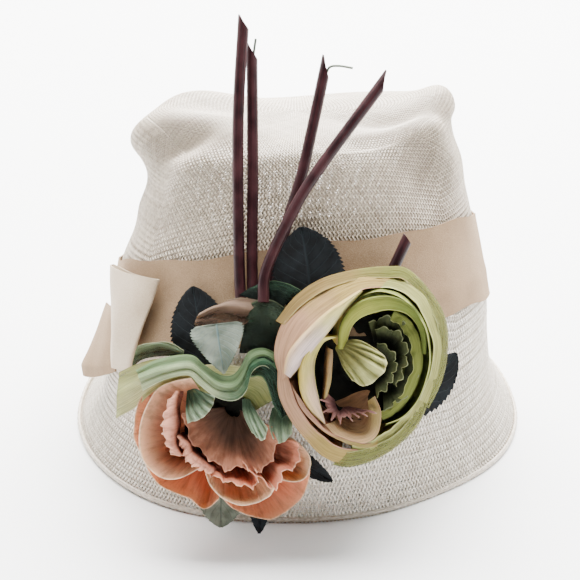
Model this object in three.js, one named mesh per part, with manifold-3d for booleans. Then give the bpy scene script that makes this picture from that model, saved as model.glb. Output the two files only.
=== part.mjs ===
// Woven straw cloche with a leaning crown, a velvet ribbon band and a spray of fabric flowers.
// Millimetres, +Z up, the front of the hat towards -Y. It stands on the flat edge of its brim.
import * as THREE from "three";
import { mergeVertices } from "three/addons/utils/BufferGeometryUtils.js";
import Module from "manifold-3d";

const wasm = await Module();
wasm.setup();

// Driving dimensions
const STRAW_WALL = 1.6;
const EDGE_WALL = 2.2;
const GAP = 0.3;
const SHEET_ROOM = 0.5;
const RIBBON_THICK = 1.2;
const PETAL_THICK = 1.0;
const LEAF_THICK = 1.0;
const STEM_RADIUS = 2.2;
const WIRE_RADIUS = 0.5;
const RING_STEPS = 48;

// Small numbers of the surfaces: the step for slopes, a length that stands in for nothing, and the
// distance under which two corners are one
const SLOPE_STEP = 0.02;
const SHEET_STEP = 1e-3;
const TINY = 1e-9;
const SAME_PLACE = 1e-4;

// The sections of the hat from the edge of the brim to the middle of the top. x, y, z is the centre
// of a section, back and left are the angles it leans by, half is its half width, front and rear are
// its two half depths, and power is 2 for an oval and more for squarer corners.
const SECTIONS = [
  { at: "edge", x: 1, y: 0, z: 0, back: 0, left: 0, half: 108, front: 89, rear: 108, power: 2.1 },
  { at: "hem", x: 1, y: 0.6, z: 4, back: 1.5, left: 0.5, half: 105.5, front: 89.5, rear: 106, power: 2.1 },
  { at: "flare", x: 0, y: 2, z: 12, back: 5, left: 2, half: 100.5, front: 90, rear: 104, power: 2.1 },
  { at: "brim", x: 0, y: 4, z: 23, back: 10, left: 3, half: 94, front: 91.5, rear: 102, power: 2.15 },
  { at: "brim_top", x: 0, y: 6, z: 36, back: 16, left: 5.5, half: 91, front: 93, rear: 99, power: 2.2 },
  { at: "foot", x: 0, y: 8, z: 49, back: 21.8, left: 8.2, half: 89.5, front: 94.5, rear: 95, power: 2.25 },
  { at: "band", x: -0.5, y: 14, z: 66.5, back: 21.8, left: 8.2, half: 86, front: 90.5, rear: 89, power: 2.3 },
  { at: "lip", x: -0.5, y: 20, z: 83.9, back: 21.8, left: 8.2, half: 82, front: 86, rear: 84, power: 2.35 },
  { at: "crown_1", x: 1, y: 24, z: 98, back: 21, left: 8, half: 77, front: 82, rear: 80, power: 2.4 },
  { at: "crown_2", x: 1, y: 26, z: 110, back: 20, left: 8, half: 75, front: 77, rear: 76, power: 2.4 },
  { at: "crown_3", x: 0.5, y: 27, z: 121, back: 17.5, left: 8, half: 71.5, front: 72, rear: 73, power: 2.45 },
  { at: "turn", x: 0, y: 26, z: 130.5, back: 14.5, left: 7.5, half: 69.5, front: 65, rear: 70, power: 2.5 },
  { at: "top_1", x: 0, y: 24, z: 137.5, back: 11, left: 6.5, half: 67.5, front: 53, rear: 64, power: 2.5 },
  { at: "top_2", x: 0, y: 21, z: 141.5, back: 8, left: 5.5, half: 62, front: 41, rear: 55, power: 2.45 },
  { at: "top_3", x: 0, y: 19, z: 144, back: 6, left: 4.5, half: 50, front: 28, rear: 41, power: 2.3 },
  { at: "top_4", x: 0, y: 18, z: 145.3, back: 5, left: 3.5, half: 27, front: 15, rear: 22, power: 2.1 },
  { at: "middle", x: 0, y: 18, z: 145.6, back: 5, left: 3.5, half: 0, front: 0, rear: 0, power: 2 },
];

// Soft dents and bulges: row is the section it sits at, angle is 0 at the right, 90 at the back,
// 180 at the left and 270 at the front, and out is its height, negative for a dent.
const DENTS = [
  { at: "edge_front_left", row: 0, angle: 232, rows: 3, wide: 24, out: 2.5 },
  { at: "edge_front_right", row: 0, angle: 312, rows: 3, wide: 20, out: -3 },
  { at: "knob", row: 11.8, angle: 186, rows: 0.8, wide: 22, out: 4.8 },
  { at: "knob_neck", row: 9.8, angle: 184, rows: 0.9, wide: 20, out: -3 },
  { at: "knob_groove", row: 12.2, angle: 224, rows: 1.1, wide: 9, out: -4 },
  { at: "left_corner", row: 10, angle: 232, rows: 2.2, wide: 9, out: 2.5 },
  { at: "left_top", row: 13.2, angle: 206, rows: 1.4, wide: 34, out: 10.5 },
  { at: "left_rise", row: 13.9, angle: 158, rows: 1, wide: 29, out: 8.5 },
  { at: "rear_flat", row: 14.1, angle: 80, rows: 1, wide: 40, out: -2.8 },
  { at: "front_fold", row: 11.2, angle: 296, rows: 1.2, wide: 16, out: -4 },
  { at: "right_ridge", row: 10.5, angle: 322, rows: 2.5, wide: 9, out: 3 },
  { at: "right_dent", row: 8.6, angle: 309, rows: 1.2, wide: 9, out: -3 },
  { at: "top_dent", row: 13.4, angle: 322, rows: 1, wide: 12, out: -4 },
  { at: "right_top", row: 12.9, angle: 355, rows: 1.2, wide: 24, out: 9 },
];

const EDGE_ROW = 0;
const JOIN_ROW = 6;
const TOP_ROW = SECTIONS.length - 1;
const BAND_FOOT_ROW = 5;
const BAND_TOP_ROW = 7;
const BAND_ROOM = 0.05;
const JOIN_GAP_ROWS = 0.02;
const EDGE_WALL_ROW = 1;
const BRIM_ROWS = [EDGE_ROW, 0.6, 1.4, 2.4, 3.6, BAND_FOOT_ROW, JOIN_ROW - JOIN_GAP_ROWS];
const CROWN_ROWS = [JOIN_ROW, BAND_TOP_ROW, 8, 9, 10, 11, 11.8, 12.6, 13.4, 14.2, 15, TOP_ROW];

const group = new THREE.Group();
const rad = THREE.MathUtils.degToRad;
const vec = (x, y, z) => new THREE.Vector3(x, y, z);

// The flattened loop of ribbon at the left and the tail behind it. Each row goes up the piece, from
// and to are the angles of its two edges, and slant is how far the second edge lies above the first.
// out is the distance from the straw, of the tail's first edge, and close that of its second edge.
const LOOP_ROWS = [
  { row: 4.6, slant: 0, from: 219, to: 226.5, out: 5.8, deep: 2.4 },
  { row: 5.35, slant: 0.1, from: 218, to: 230.5, out: 5.7, deep: 2.9 },
  { row: 6.08, slant: 0, from: 214.5, to: 233, out: 5.4, deep: 3.2 },
  { row: 6.85, slant: -0.3, from: 209, to: 234.5, out: 5.1, deep: 3.4 },
];
const TAIL_ROWS = [
  { row: 3.4, slant: 0.95, from: 196, to: 216, out: 11, close: 2.6 },
  { row: 3.8, slant: 0.86, from: 195, to: 216, out: 13.5, close: 2.6 },
  { row: 4.9, slant: 0.4, from: 193, to: 215.5, out: 8, close: 2.6 },
  { row: 5.9, slant: 0, from: 197, to: 214, out: 3, close: 2.6 },
];
const LOOP_PINCH = 0.4;
const TAIL_SHARES = [0, 0.25, 0.5, 0.75, 1];
const LOOP_STEPS = 16;
const LOOP_WALL = 1.0;

// The spray is laid out in a plane that faces up and forwards. Its places are given as right, up
// and out of that plane, from a point in front of the brim.
const SPRAY_PLACE = vec(0, -85, 62);
const SPRAY_TILT = rad(29);

// Tube stems, from the foot to the tip; slant is how far the cut runs down to the right.
const STEMS = [
  { at: "stem_1", slant: 5.4,
    route: [[-20, 26, 6.4], [-22.3, 46, 7], [-22.8, 105, 10.5], [-20.4, 148, 14]] },
  { at: "stem_2", slant: 6.5,
    route: [[-15.4, 26, 6.4], [-17.4, 46, 6.4], [-17.2, 92, 8], [-17.5, 138.5, 9]] },
  { at: "stem_3", slant: 8.5,
    route: [[-11, 40, 7.4], [-6.5, 60, 7.4], [1.2, 85, 7.6], [5, 101, 8.2], [12, 133.5, 9]] },
  { at: "stem_4", slant: 7.5,
    route: [[-13, 38, 11.8], [-11.9, 50, 12.2], [-3.1, 69.7, 12.8], [7.3, 87.3, 13.4], [35.5, 125.5, 15]] },
  { at: "stem_5", slant: 2.5, route: [[31.6, 38.7, 7.2], [37, 49.7, 7.2], [43.5, 63.6, 7.6]] },
];
const WIRES = [
  { at: "wire_2", route: [[-17.2, 129, 8.8], [-16.8, 134, 9.2], [-16, 140, 9]] },
  { at: "wire_3", route: [[10.8, 124, 8.9], [12.4, 128.6, 9.6], [16, 129.4, 9.6], [21.7, 128.6, 9.3]] },
];
const STEM_SIDES = 8;
const WIRE_SIDES = 6;

// Petals are parts of bowls round a middle. mid and half are the petal's angle and half its width
// in degrees, anticlockwise from the right; base and rim are its radii; low and high are its depths.
// right and up shift its own middle from the flower's, where it has them.
const FLOWERS = [
  {
    at: "rose", middle: [-29.7, -13.1, -9], core: 8.5, look: "peach",
    petals: [
      { at: "inner_left", mid: 215, half: 55, right: 0, up: 2, base: 5, rim: 15, low: 5, high: 17 },
      { at: "inner_right", mid: 325, half: 52, right: 0, up: 2, base: 5, rim: 16, low: 5, high: 16 },
      { at: "middle_left", mid: 178, half: 42, base: 6, rim: 23, low: 4.5, high: 19 },
      { at: "middle_low", mid: 262, half: 40, base: 6, rim: 25, low: 5.5, high: 16 },
      { at: "middle_right", mid: 337, half: 38, base: 6, rim: 24.5, low: 4, high: 18 },
      { at: "outer_left", mid: 172, half: 46, base: 7, rim: 34, low: 1, high: 15 },
      { at: "outer_low_left", mid: 226, half: 36, base: 7, rim: 33, low: 2.5, high: 12 },
      { at: "outer_low", mid: 272, half: 34, base: 7, rim: 33, low: 1, high: 10 },
      { at: "outer_low_right", mid: 318, half: 36, base: 7, rim: 34.5, low: 2.5, high: 12 },
      { at: "outer_right", mid: 354, half: 32, base: 7, rim: 33, low: 0.8, high: 14 },
      { at: "outer_top", mid: 82, half: 50, base: 7, rim: 26, low: 1, high: 14, look: "sheer" },
    ],
  },
  {
    at: "ranunculus", middle: [24.3, 13.2, 3], core: 8, look: "green",
    petals: [
      { at: "ruffle_inner", mid: 15, half: 60, right: 4, up: 2,
        base: 4, rim: 10, low: 9, high: 15, look: "darkGreen" },
      { at: "ruffle_outer", mid: 25, half: 55, right: 4, up: 3,
        base: 5, rim: 15, low: 4, high: 16, look: "darkGreen" },
      { at: "crumple", mid: 200, half: 75, right: -5, up: -9,
        base: 2, rim: 7, low: 11, high: 17, look: "mauve" },
      { at: "disc", mid: 268, half: 65, right: 1, up: -11,
        base: 3, rim: 11.5, low: 9, high: 15, look: "cream" },
      { at: "inner_left", mid: 180, half: 55, right: -1, up: -1,
        base: 5, rim: 16.5, low: 4, high: 20.5, look: "cream" },
      { at: "inner_right", mid: 22, half: 70, right: 3, up: 1, base: 5, rim: 20.5, low: 4, high: 18 },
      { at: "middle_left", mid: 150, half: 58, right: -1, up: 1,
        base: 6, rim: 26.5, low: 4, high: 20, look: "cream" },
      { at: "middle_right", mid: 30, half: 58, right: 1, up: 1, base: 6, rim: 27.5, low: 3, high: 19.5 },
      { at: "middle_low", mid: 272, half: 60, right: 1, up: -1, base: 6, rim: 26.5, low: 3.5, high: 17.5 },
      { at: "outer_right", mid: -8, half: 52, base: 7, rim: 33, low: 0.5, high: 12 },
      { at: "outer_top", mid: 72, half: 46, base: 7, rim: 35.5, low: 2, high: 14 },
      { at: "outer_left", mid: 165, half: 50, base: 7, rim: 32, low: 0.5, high: 12.5, look: "mauve" },
      { at: "outer_low", mid: 243, half: 44, base: 7, rim: 34.5, low: 2, high: 11, look: "mauve" },
      { at: "outer_low_right", mid: 303, half: 36, base: 7, rim: 33.5, low: 0.5, high: 10 },
    ],
  },
];
const PETAL_STEPS = [5, 2];
const PETAL_RIM_ROUND = 0.16;
const PETAL_CORNER_POWER = 4;
const PETAL_CORNER_DROP = 0.25;
const GROWN_SPREAD = 0.03;
const CORE_SIDES = 12;
const CORE_ROWS = 8;
const CORE_FLATNESS = 0.62;

// Blades are leaves, pleated fans and loose sheer petals: from the base past a bend to the tip, with
// half the width, and two powers that put the widest place near the base or near the tip.
const BLADES = [
  { at: "rose_fan_left", base: [-31, -3, 8], bend: [-37, -1, 12], tip: [-43.5, -1, 13],
    half: 6.5, near: 1, far: 0.2, look: "sheer" },
  { at: "rose_fan_right", base: [-27, -8, -6], bend: [-20, -3, 9], tip: [-15.5, -14.5, 13],
    half: 5, near: 1, far: 0.2, look: "sheer" },
  { at: "ranunculus_fan", base: [16, 21, 14], bend: [24, 17, 17], tip: [32, 13.5, 17],
    half: 8, near: 1, far: 0.2, look: "sheer" },
  { at: "sheer_mint", base: [-42, 14, 9], bend: [-29, -4, 15], tip: [-14, 13, 13],
    half: 6.5, near: 0.3, far: 0.3, look: "sheer" },
  { at: "sheer_dark", base: [-12, 26, 9], bend: [-14, 12, 12], tip: [-10, -1, 10],
    half: 7, near: 0.4, far: 0.4, look: "sheer" },
  { at: "sheer_left", base: [-38, 8, 2], bend: [-54, 14, 0], tip: [-69, 1, -6],
    half: 12, near: 0.5, far: 0.35, look: "sheer" },
  { at: "organza", base: [-20, 2, -2], bend: [-22, 25, 12], tip: [-20, 49, 10.5],
    half: 15, near: 0.4, far: 0.4, look: "leaf" },
  { at: "leaf_under", base: [-31, 29.5, 12.5], bend: [-30, 22, 14], tip: [-28, 10.5, 13.8],
    half: 10.5, near: 0.15, far: 0.8, look: "leafUnder" },
  { at: "leaf_top", base: [6, 32, 7], bend: [5, 50, 8], tip: [1.5, 67, 8],
    half: 14.5, near: 0.6, far: 0.7, look: "leaf" },
  { at: "leaf_left", base: [-34, 6, -4], bend: [-38, 24, 1], tip: [-41.4, 44, 0],
    half: 12.5, near: 0.6, far: 0.7, look: "leaf" },
  { at: "leaf_right", base: [27, 9, 0], bend: [48, -10, -8], tip: [65, 17, -10],
    half: 11, near: 0.6, far: 0.7, look: "leaf" },
  { at: "leaf_low_left", base: [-30, -18, -10], bend: [-31, -40, -12], tip: [-31, -55, -14],
    half: 11, near: 0.6, far: 0.7, look: "leafUnder" },
  { at: "leaf_low", base: [-24, -18, -10.5], bend: [-14, -40, -12], tip: [-15.4, -57.5, -14],
    half: 5.5, near: 0.6, far: 0.7, look: "leaf" },
  { at: "leaf_low_right", base: [-22, -10, -8], bend: [0, -26, -8], tip: [14.5, -35, -8],
    half: 5, near: 0.6, far: 0.7, look: "leaf" },
];
const BLADE_STEPS = [6, 2];
const BLADE_MIN_HALF = 0.6;
const BLADE_CUP = 0.12;

// A smooth curve through four neighbouring values, for a fraction between the middle two.
function smooth(a, b, c, d, f) {
  const slopeB = (c - a) / 2;
  const slopeC = (d - b) / 2;
  const f2 = f * f;
  const f3 = f2 * f;
  return (2 * f3 - 3 * f2 + 1) * b + (f3 - 2 * f2 + f) * slopeB + (3 * f2 - 2 * f3) * c + (f3 - f2) * slopeC;
}

// One column of the section table at any row between two sections.
function column(name, row) {
  const i = Math.min(Math.floor(row), TOP_ROW - 1);
  const value = (k) => SECTIONS[THREE.MathUtils.clamp(k, 0, TOP_ROW)][name];
  return smooth(value(i - 1), value(i), value(i + 1), value(i + 2), row - i);
}

// A point of the section curve: a superellipse in the leaning plane of its row.
function sectionPoint(row, angle) {
  const c = Math.cos(angle);
  const s = Math.sin(angle);
  const half = column("half", row);
  const deep = column(s < 0 ? "front" : "rear", row);
  const power = column("power", row);
  const sum = Math.abs(c / (half + TINY)) ** power + Math.abs(s / (deep + TINY)) ** power;
  const radius = sum ** (-1 / power);
  const left = rad(column("left", row));
  const back = rad(column("back", row));
  return vec(
    column("x", row) + radius * c * Math.cos(left),
    column("y", row) + radius * s * Math.cos(back),
    column("z", row) + radius * (c * Math.sin(left) - s * Math.sin(back)),
  );
}

// The height of all dents and bulges at a place.
function dentHeight(row, angle) {
  let height = 0;
  for (const dent of DENTS) {
    let turn = THREE.MathUtils.radToDeg(angle) - dent.angle;
    turn -= 360 * Math.round(turn / 360);
    height += dent.out * Math.exp(-(((row - dent.row) / dent.rows) ** 2) - (turn / dent.wide) ** 2);
  }
  return height;
}

// The outward direction of the smooth section surface.
function sectionNormal(row, angle) {
  const low = Math.max(row - SLOPE_STEP, 0);
  const high = Math.min(row + SLOPE_STEP, TOP_ROW - SLOPE_STEP);
  const level = Math.min(row, TOP_ROW - SLOPE_STEP);
  const along = sectionPoint(high, angle).sub(sectionPoint(low, angle));
  const around = sectionPoint(level, angle + SLOPE_STEP).sub(sectionPoint(level, angle - SLOPE_STEP));
  return around.cross(along).normalize();
}

// The outer straw surface, or one that lies out from it by a distance.
function hatPoint(row, angle, out = 0) {
  if (row >= TOP_ROW) {
    return sectionPoint(TOP_ROW, 0).add(vec(0, 0, out));
  }
  const normal = sectionNormal(row, angle);
  const point = sectionPoint(row, angle);
  point.addScaledVector(normal, dentHeight(row, angle));
  if (row === EDGE_ROW) {
    normal.z = 0;
    normal.normalize();
  }
  point.addScaledVector(normal, out);
  point.z = row === EDGE_ROW ? 0 : Math.max(point.z, 0);
  return point;
}

// A closed mesh from triangles given as points, with shared corners and its faces pointing out.
function closedGeometry(triangles) {
  const places = [];
  for (const triangle of triangles) {
    for (const point of triangle) {
      places.push(point.x, point.y, point.z);
    }
  }
  const loose = new THREE.BufferGeometry();
  loose.setAttribute("position", new THREE.Float32BufferAttribute(places, 3));
  const merged = mergeVertices(loose, SAME_PLACE);
  const kept = [];
  const corners = merged.index.array;
  for (let i = 0; i < corners.length; i += 3) {
    const [a, b, c] = corners.slice(i, i + 3);
    if (a !== b && b !== c && c !== a) {
      kept.push(a, b, c);
    }
  }
  if (signedVolume(merged.attributes.position, kept) < 0) {
    kept.reverse();
  }
  merged.setIndex(kept);
  return merged;
}

// Six times the volume inside a mesh, negative where its faces point in.
function signedVolume(position, corners) {
  const at = (i) => new THREE.Vector3().fromBufferAttribute(position, corners[i]);
  let volume = 0;
  for (let i = 0; i < corners.length; i += 3) {
    volume += at(i).dot(at(i + 1).cross(at(i + 2)));
  }
  return volume;
}

// Two triangles that fill four corners.
function quad(triangles, a, b, c, d) {
  triangles.push([a, b, c], [a, c, d]);
}

// A wall between two grids of points of the same size, closed round its edges.
function wallGeometry(outer, inner, wraps) {
  const triangles = [];
  const rows = outer.length;
  const columns = outer[0].length;
  const last = wraps ? columns : columns - 1;
  for (let i = 0; i < rows - 1; i++) {
    for (let j = 0; j < last; j++) {
      const k = (j + 1) % columns;
      quad(triangles, outer[i][j], outer[i][k], outer[i + 1][k], outer[i + 1][j]);
      quad(triangles, inner[i + 1][j], inner[i + 1][k], inner[i][k], inner[i][j]);
    }
    if (!wraps) {
      quad(triangles, inner[i][0], outer[i][0], outer[i + 1][0], inner[i + 1][0]);
      quad(triangles, inner[i + 1][last], outer[i + 1][last], outer[i][last], inner[i][last]);
    }
  }
  for (let j = 0; j < last; j++) {
    const k = (j + 1) % columns;
    quad(triangles, inner[0][j], inner[0][k], outer[0][k], outer[0][j]);
    quad(triangles, outer[rows - 1][j], outer[rows - 1][k], inner[rows - 1][k], inner[rows - 1][j]);
  }
  return closedGeometry(triangles);
}

// A thin solid on both sides of a surface given by a function of two numbers from 0 to 1. Grown
// makes it larger all round, which is the room that a neighbour keeps clear.
function sheetGeometry(surface, steps, thick, grown = 0) {
  const [stepsU, stepsV] = steps;
  const outer = [];
  const inner = [];
  const spread = grown > 0 ? GROWN_SPREAD : 0;
  for (let i = 0; i <= stepsU; i++) {
    outer.push([]);
    inner.push([]);
    for (let j = 0; j <= stepsV; j++) {
      const u = i / stepsU + (i === 0 ? -spread : 0) + (i === stepsU ? spread : 0);
      const v = j / stepsV + (j === 0 ? -spread : 0) + (j === stepsV ? spread : 0);
      const point = surface(u, v);
      const alongU = surface(u + SHEET_STEP, v).sub(surface(u - SHEET_STEP, v));
      const alongV = surface(u, v + SHEET_STEP).sub(surface(u, v - SHEET_STEP));
      const normal = alongU.cross(alongV).normalize();
      outer[i].push(point.clone().addScaledVector(normal, thick / 2 + grown));
      inner[i].push(point.clone().addScaledVector(normal, -thick / 2 - grown));
    }
  }
  return wallGeometry(outer, inner, false);
}

// A geometry as a solid that can be joined and cut.
function solidOf(geometry) {
  const position = geometry.attributes.position;
  const mesh = new wasm.Mesh({
    numProp: 3,
    vertProperties: new Float32Array(position.array),
    triVerts: new Uint32Array(geometry.index.array),
  });
  return new wasm.Manifold(mesh);
}

// A solid as a geometry again.
function geometryOf(solid) {
  const mesh = solid.getMesh();
  const geometry = new THREE.BufferGeometry();
  geometry.setAttribute("position", new THREE.BufferAttribute(new Float32Array(mesh.vertProperties), 3));
  geometry.setIndex(new THREE.BufferAttribute(new Uint32Array(mesh.triVerts), 1));
  return geometry;
}

// The largest of the loose pieces that a cut leaves.
function largestPiece(solid) {
  const pieces = solid.decompose();
  pieces.sort((a, b) => b.volume() - a.volume());
  return pieces[0];
}

// A named mesh in the hat's group, with its material.
function addMesh(name, geometry, look) {
  const material = new THREE.MeshStandardMaterial({ metalness: 0, side: THREE.DoubleSide, ...look });
  const mesh = new THREE.Mesh(geometry, material);
  mesh.name = name;
  group.add(mesh);
  return mesh;
}

const LOOKS = {
  straw: { color: 0xe4ddd0, roughness: 0.55 },
  velvet: { color: 0xcbb8a2, roughness: 0.85 },
  stem: { color: 0x4b2d34, roughness: 0.45 },
  wire: { color: 0x6f7a6c, roughness: 0.4, metalness: 0.8 },
  leaf: { color: 0x1f2e2b, roughness: 0.7 },
  leafUnder: { color: 0x6d7a6c, roughness: 0.75 },
  peach: { color: 0xe9a27c, roughness: 0.8 },
  green: { color: 0x9fae63, roughness: 0.8 },
  cream: { color: 0xe9e0bd, roughness: 0.8 },
  mauve: { color: 0xc9a7a0, roughness: 0.8 },
  sheer: { color: 0xb9c9a4, roughness: 0.6 },
  darkGreen: { color: 0x35492f, roughness: 0.8 },
};

// A ring of the hat's wall between two rows, with its inner and outer distance from the surface.
function hatRing(rows, inDistance, outDistance) {
  const outer = [];
  const inner = [];
  for (const row of rows) {
    outer.push([]);
    inner.push([]);
    for (let j = 0; j < RING_STEPS; j++) {
      const angle = (j / RING_STEPS) * 2 * Math.PI;
      outer.at(-1).push(hatPoint(row, angle, outDistance(row)));
      inner.at(-1).push(hatPoint(row, angle, inDistance(row)));
    }
  }
  return wallGeometry(outer, inner, true);
}

const brimWall = (row) => -(row < EDGE_WALL_ROW ? EDGE_WALL : STRAW_WALL);
const noOffset = () => 0;
addMesh("brim", hatRing(BRIM_ROWS, brimWall, noOffset), LOOKS.straw);
addMesh("crown", hatRing(CROWN_ROWS, () => -STRAW_WALL, noOffset), LOOKS.straw);

// The ribbon lies on the straw all round between two rows.
const bandRows = [BAND_FOOT_ROW, JOIN_ROW, BAND_TOP_ROW];
addMesh("ribbon_band", hatRing(bandRows, () => GAP, () => GAP + RIBBON_THICK), LOOKS.velvet);

// A place in the spray, from its right, up and out distances.
function sprayPoint(right, up, out) {
  const c = Math.cos(SPRAY_TILT);
  const s = Math.sin(SPRAY_TILT);
  return vec(right, up * s - out * c, up * c + out * s).add(SPRAY_PLACE);
}

// A round rod along a route, with a slanted end. Grown makes it thicker all round.
function rodGeometry(route, radius, sides, slant, grown = 0) {
  const curve = new THREE.CatmullRomCurve3(route.map((place) => sprayPoint(...place)), false, "centripetal");
  const count = route.length * 2;
  const triangles = [];
  const rings = [];
  for (let i = 0; i <= count; i++) {
    const centre = curve.getPointAt(i / count);
    const along = curve.getTangentAt(i / count);
    const side = vec(1, 0, 0).addScaledVector(along, -along.x).normalize();
    const other = along.clone().cross(side);
    const ring = [];
    for (let j = 0; j < sides; j++) {
      const angle = (j / sides) * 2 * Math.PI;
      const point = centre.clone().addScaledVector(side, (radius + grown) * Math.cos(angle));
      point.addScaledVector(other, (radius + grown) * Math.sin(angle));
      if (i === 0) {
        point.addScaledVector(along, -grown);
      }
      if (i === count) {
        point.addScaledVector(along, -slant * 0.5 * (1 + Math.cos(angle)) + grown);
      }
      ring.push(point);
    }
    rings.push(ring);
  }
  for (let j = 0; j < sides; j++) {
    const k = (j + 1) % sides;
    for (let i = 0; i < count; i++) {
      quad(triangles, rings[i][j], rings[i][k], rings[i + 1][k], rings[i + 1][j]);
    }
    if (j > 0 && k > 0) {
      triangles.push([rings[0][0], rings[0][k], rings[0][j]]);
      triangles.push([rings[count][0], rings[count][j], rings[count][k]]);
    }
  }
  return closedGeometry(triangles);
}

// One petal of a flower, as a function of its place across (u) and from its base to its rim (v).
function petalSurface(flower, petal) {
  const [right, up, out] = flower.middle;
  return (u, v) => {
    const turn = rad(petal.mid + (u - 0.5) * 2 * petal.half);
    const edge = Math.min(Math.abs(2 * u - 1), 1);
    const rim = petal.rim * (1 - PETAL_RIM_ROUND * edge ** PETAL_CORNER_POWER);
    const arc = (v * Math.PI) / 2;
    const radius = petal.base + (rim - petal.base) * Math.sin(arc);
    const drop = 1 - PETAL_CORNER_DROP * edge ** PETAL_CORNER_POWER;
    const depth = petal.low + (petal.high - petal.low) * (1 - Math.cos(arc)) * drop;
    return sprayPoint(
      right + (petal.right ?? 0) + radius * Math.cos(turn),
      up + (petal.up ?? 0) + radius * Math.sin(turn),
      out + depth,
    );
  };
}

// A blade, as a function of its place along (u) and across (v).
function bladeSurface(blade) {
  const [base, bend, tip] = [blade.base, blade.bend, blade.tip].map((place) => vec(...place));
  const peak = blade.near / (blade.near + blade.far);
  const shape = (t) => t ** blade.near * (1 - t) ** blade.far;
  const spine = new THREE.QuadraticBezierCurve3(base, bend, tip);
  return (u, v) => {
    const t = THREE.MathUtils.clamp(u, 0, 1);
    const centre = spine.getPoint(t).addScaledVector(spine.getTangent(t), (u - t) * base.distanceTo(tip));
    const along = spine.getTangent(t);
    const side = vec(along.y, -along.x, 0).normalize();
    const half = Math.max((blade.half * shape(t)) / shape(peak), BLADE_MIN_HALF);
    const across = 2 * v - 1;
    centre.addScaledVector(side, across * half);
    centre.z += BLADE_CUP * half * across * across;
    return sprayPoint(centre.x, centre.y, centre.z);
  };
}

// The flattened loop: a tube of ribbon, open at its top and its foot, and flatter at its second edge.
function loopGeometry() {
  const ring = (place, inset) => {
    const points = [];
    const middle = rad((place.from + place.to) / 2);
    const spread = rad((place.to - place.from) / 2);
    const edge = hatPoint(place.row, middle - spread);
    const reach = edge.distanceTo(hatPoint(place.row, middle + spread)) / 2;
    for (let j = 0; j < LOOP_STEPS; j++) {
      const turn = (j / LOOP_STEPS) * 2 * Math.PI;
      const share = (1 + Math.cos(turn)) / 2;
      const deep = place.deep * (1 - LOOP_PINCH * share) - inset;
      const angle = middle + spread * (1 - inset / reach) * Math.cos(turn);
      points.push(hatPoint(place.row + place.slant * share, angle, place.out + deep * Math.sin(turn)));
    }
    return points;
  };
  const outer = LOOP_ROWS.map((place) => ring(place, 0));
  const inner = LOOP_ROWS.map((place) => ring(place, LOOP_WALL));
  return wallGeometry(outer, inner, true);
}

// The tail: a strip of ribbon between two angles at each row.
function tailGeometry() {
  const across = (place, lift) =>
    TAIL_SHARES.map((share) => {
      const angle = rad(place.from + (place.to - place.from) * share);
      const out = place.out + (place.close - place.out) * share;
      return hatPoint(place.row + place.slant * share, angle, out + lift);
    });
  const side = (lift) => TAIL_ROWS.map((place) => across(place, lift));
  return wallGeometry(side(LOOP_WALL / 2), side(-LOOP_WALL / 2), false);
}

// Solids that later pieces keep clear of, each a little larger than the piece itself.
const keptClear = [];

// Cuts a piece back from everything built before it, keeps its largest part and adds it.
function addFitted(name, geometry, grownGeometry, look) {
  let solid = solidOf(geometry);
  for (const other of keptClear) {
    solid = solid.subtract(other);
  }
  addMesh(name, geometryOf(largestPiece(solid)), look);
  keptClear.push(solidOf(grownGeometry));
}

// The whole hat as one filled solid, a little larger, that the trim keeps clear of.
function filledHat(rows, outDistance) {
  const triangles = [];
  const ringAt = (row) =>
    Array.from({ length: RING_STEPS }, (_, j) => hatPoint(row, (j / RING_STEPS) * 2 * Math.PI, outDistance));
  const rings = rows.map(ringAt);
  for (let j = 0; j < RING_STEPS; j++) {
    const k = (j + 1) % RING_STEPS;
    for (let i = 0; i < rings.length - 1; i++) {
      quad(triangles, rings[i][j], rings[i][k], rings[i + 1][k], rings[i + 1][j]);
    }
    if (j > 0 && k > 0) {
      triangles.push([rings[0][0], rings[0][k], rings[0][j]]);
      triangles.push([rings.at(-1)[0], rings.at(-1)[j], rings.at(-1)[k]]);
    }
  }
  return solidOf(closedGeometry(triangles));
}

keptClear.push(filledHat([...BRIM_ROWS.slice(0, -1), ...CROWN_ROWS], GAP));
const bandRoom = [BAND_FOOT_ROW - BAND_ROOM, JOIN_ROW, BAND_TOP_ROW + BAND_ROOM];
keptClear.push(filledHat(bandRoom, 2 * GAP + RIBBON_THICK));
addMesh("ribbon_tail", tailGeometry(), LOOKS.velvet);
addMesh("ribbon_loop", loopGeometry(), LOOKS.velvet);
keptClear.push(solidOf(tailGeometry()), solidOf(loopGeometry()));

for (const stem of STEMS) {
  const rod = (grown) => rodGeometry(stem.route, STEM_RADIUS, STEM_SIDES, stem.slant, grown);
  addFitted(stem.at, rod(0), rod(GAP), LOOKS.stem);
}
for (const wire of WIRES) {
  const rod = (grown) => rodGeometry(wire.route, WIRE_RADIUS, WIRE_SIDES, 0, grown);
  addFitted(wire.at, rod(0), rod(GAP), LOOKS.wire);
}

// The core of a flower is a flat ball that its petals are gathered round.
function coreGeometry(flower, grown) {
  const ball = new THREE.SphereGeometry(flower.core + grown, CORE_SIDES, CORE_ROWS);
  ball.scale(1, 1, CORE_FLATNESS);
  ball.rotateX(Math.PI / 2 - SPRAY_TILT);
  ball.translate(...sprayPoint(...flower.middle).toArray());
  ball.deleteAttribute("normal");
  ball.deleteAttribute("uv");
  return mergeVertices(ball, SAME_PLACE);
}

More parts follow.
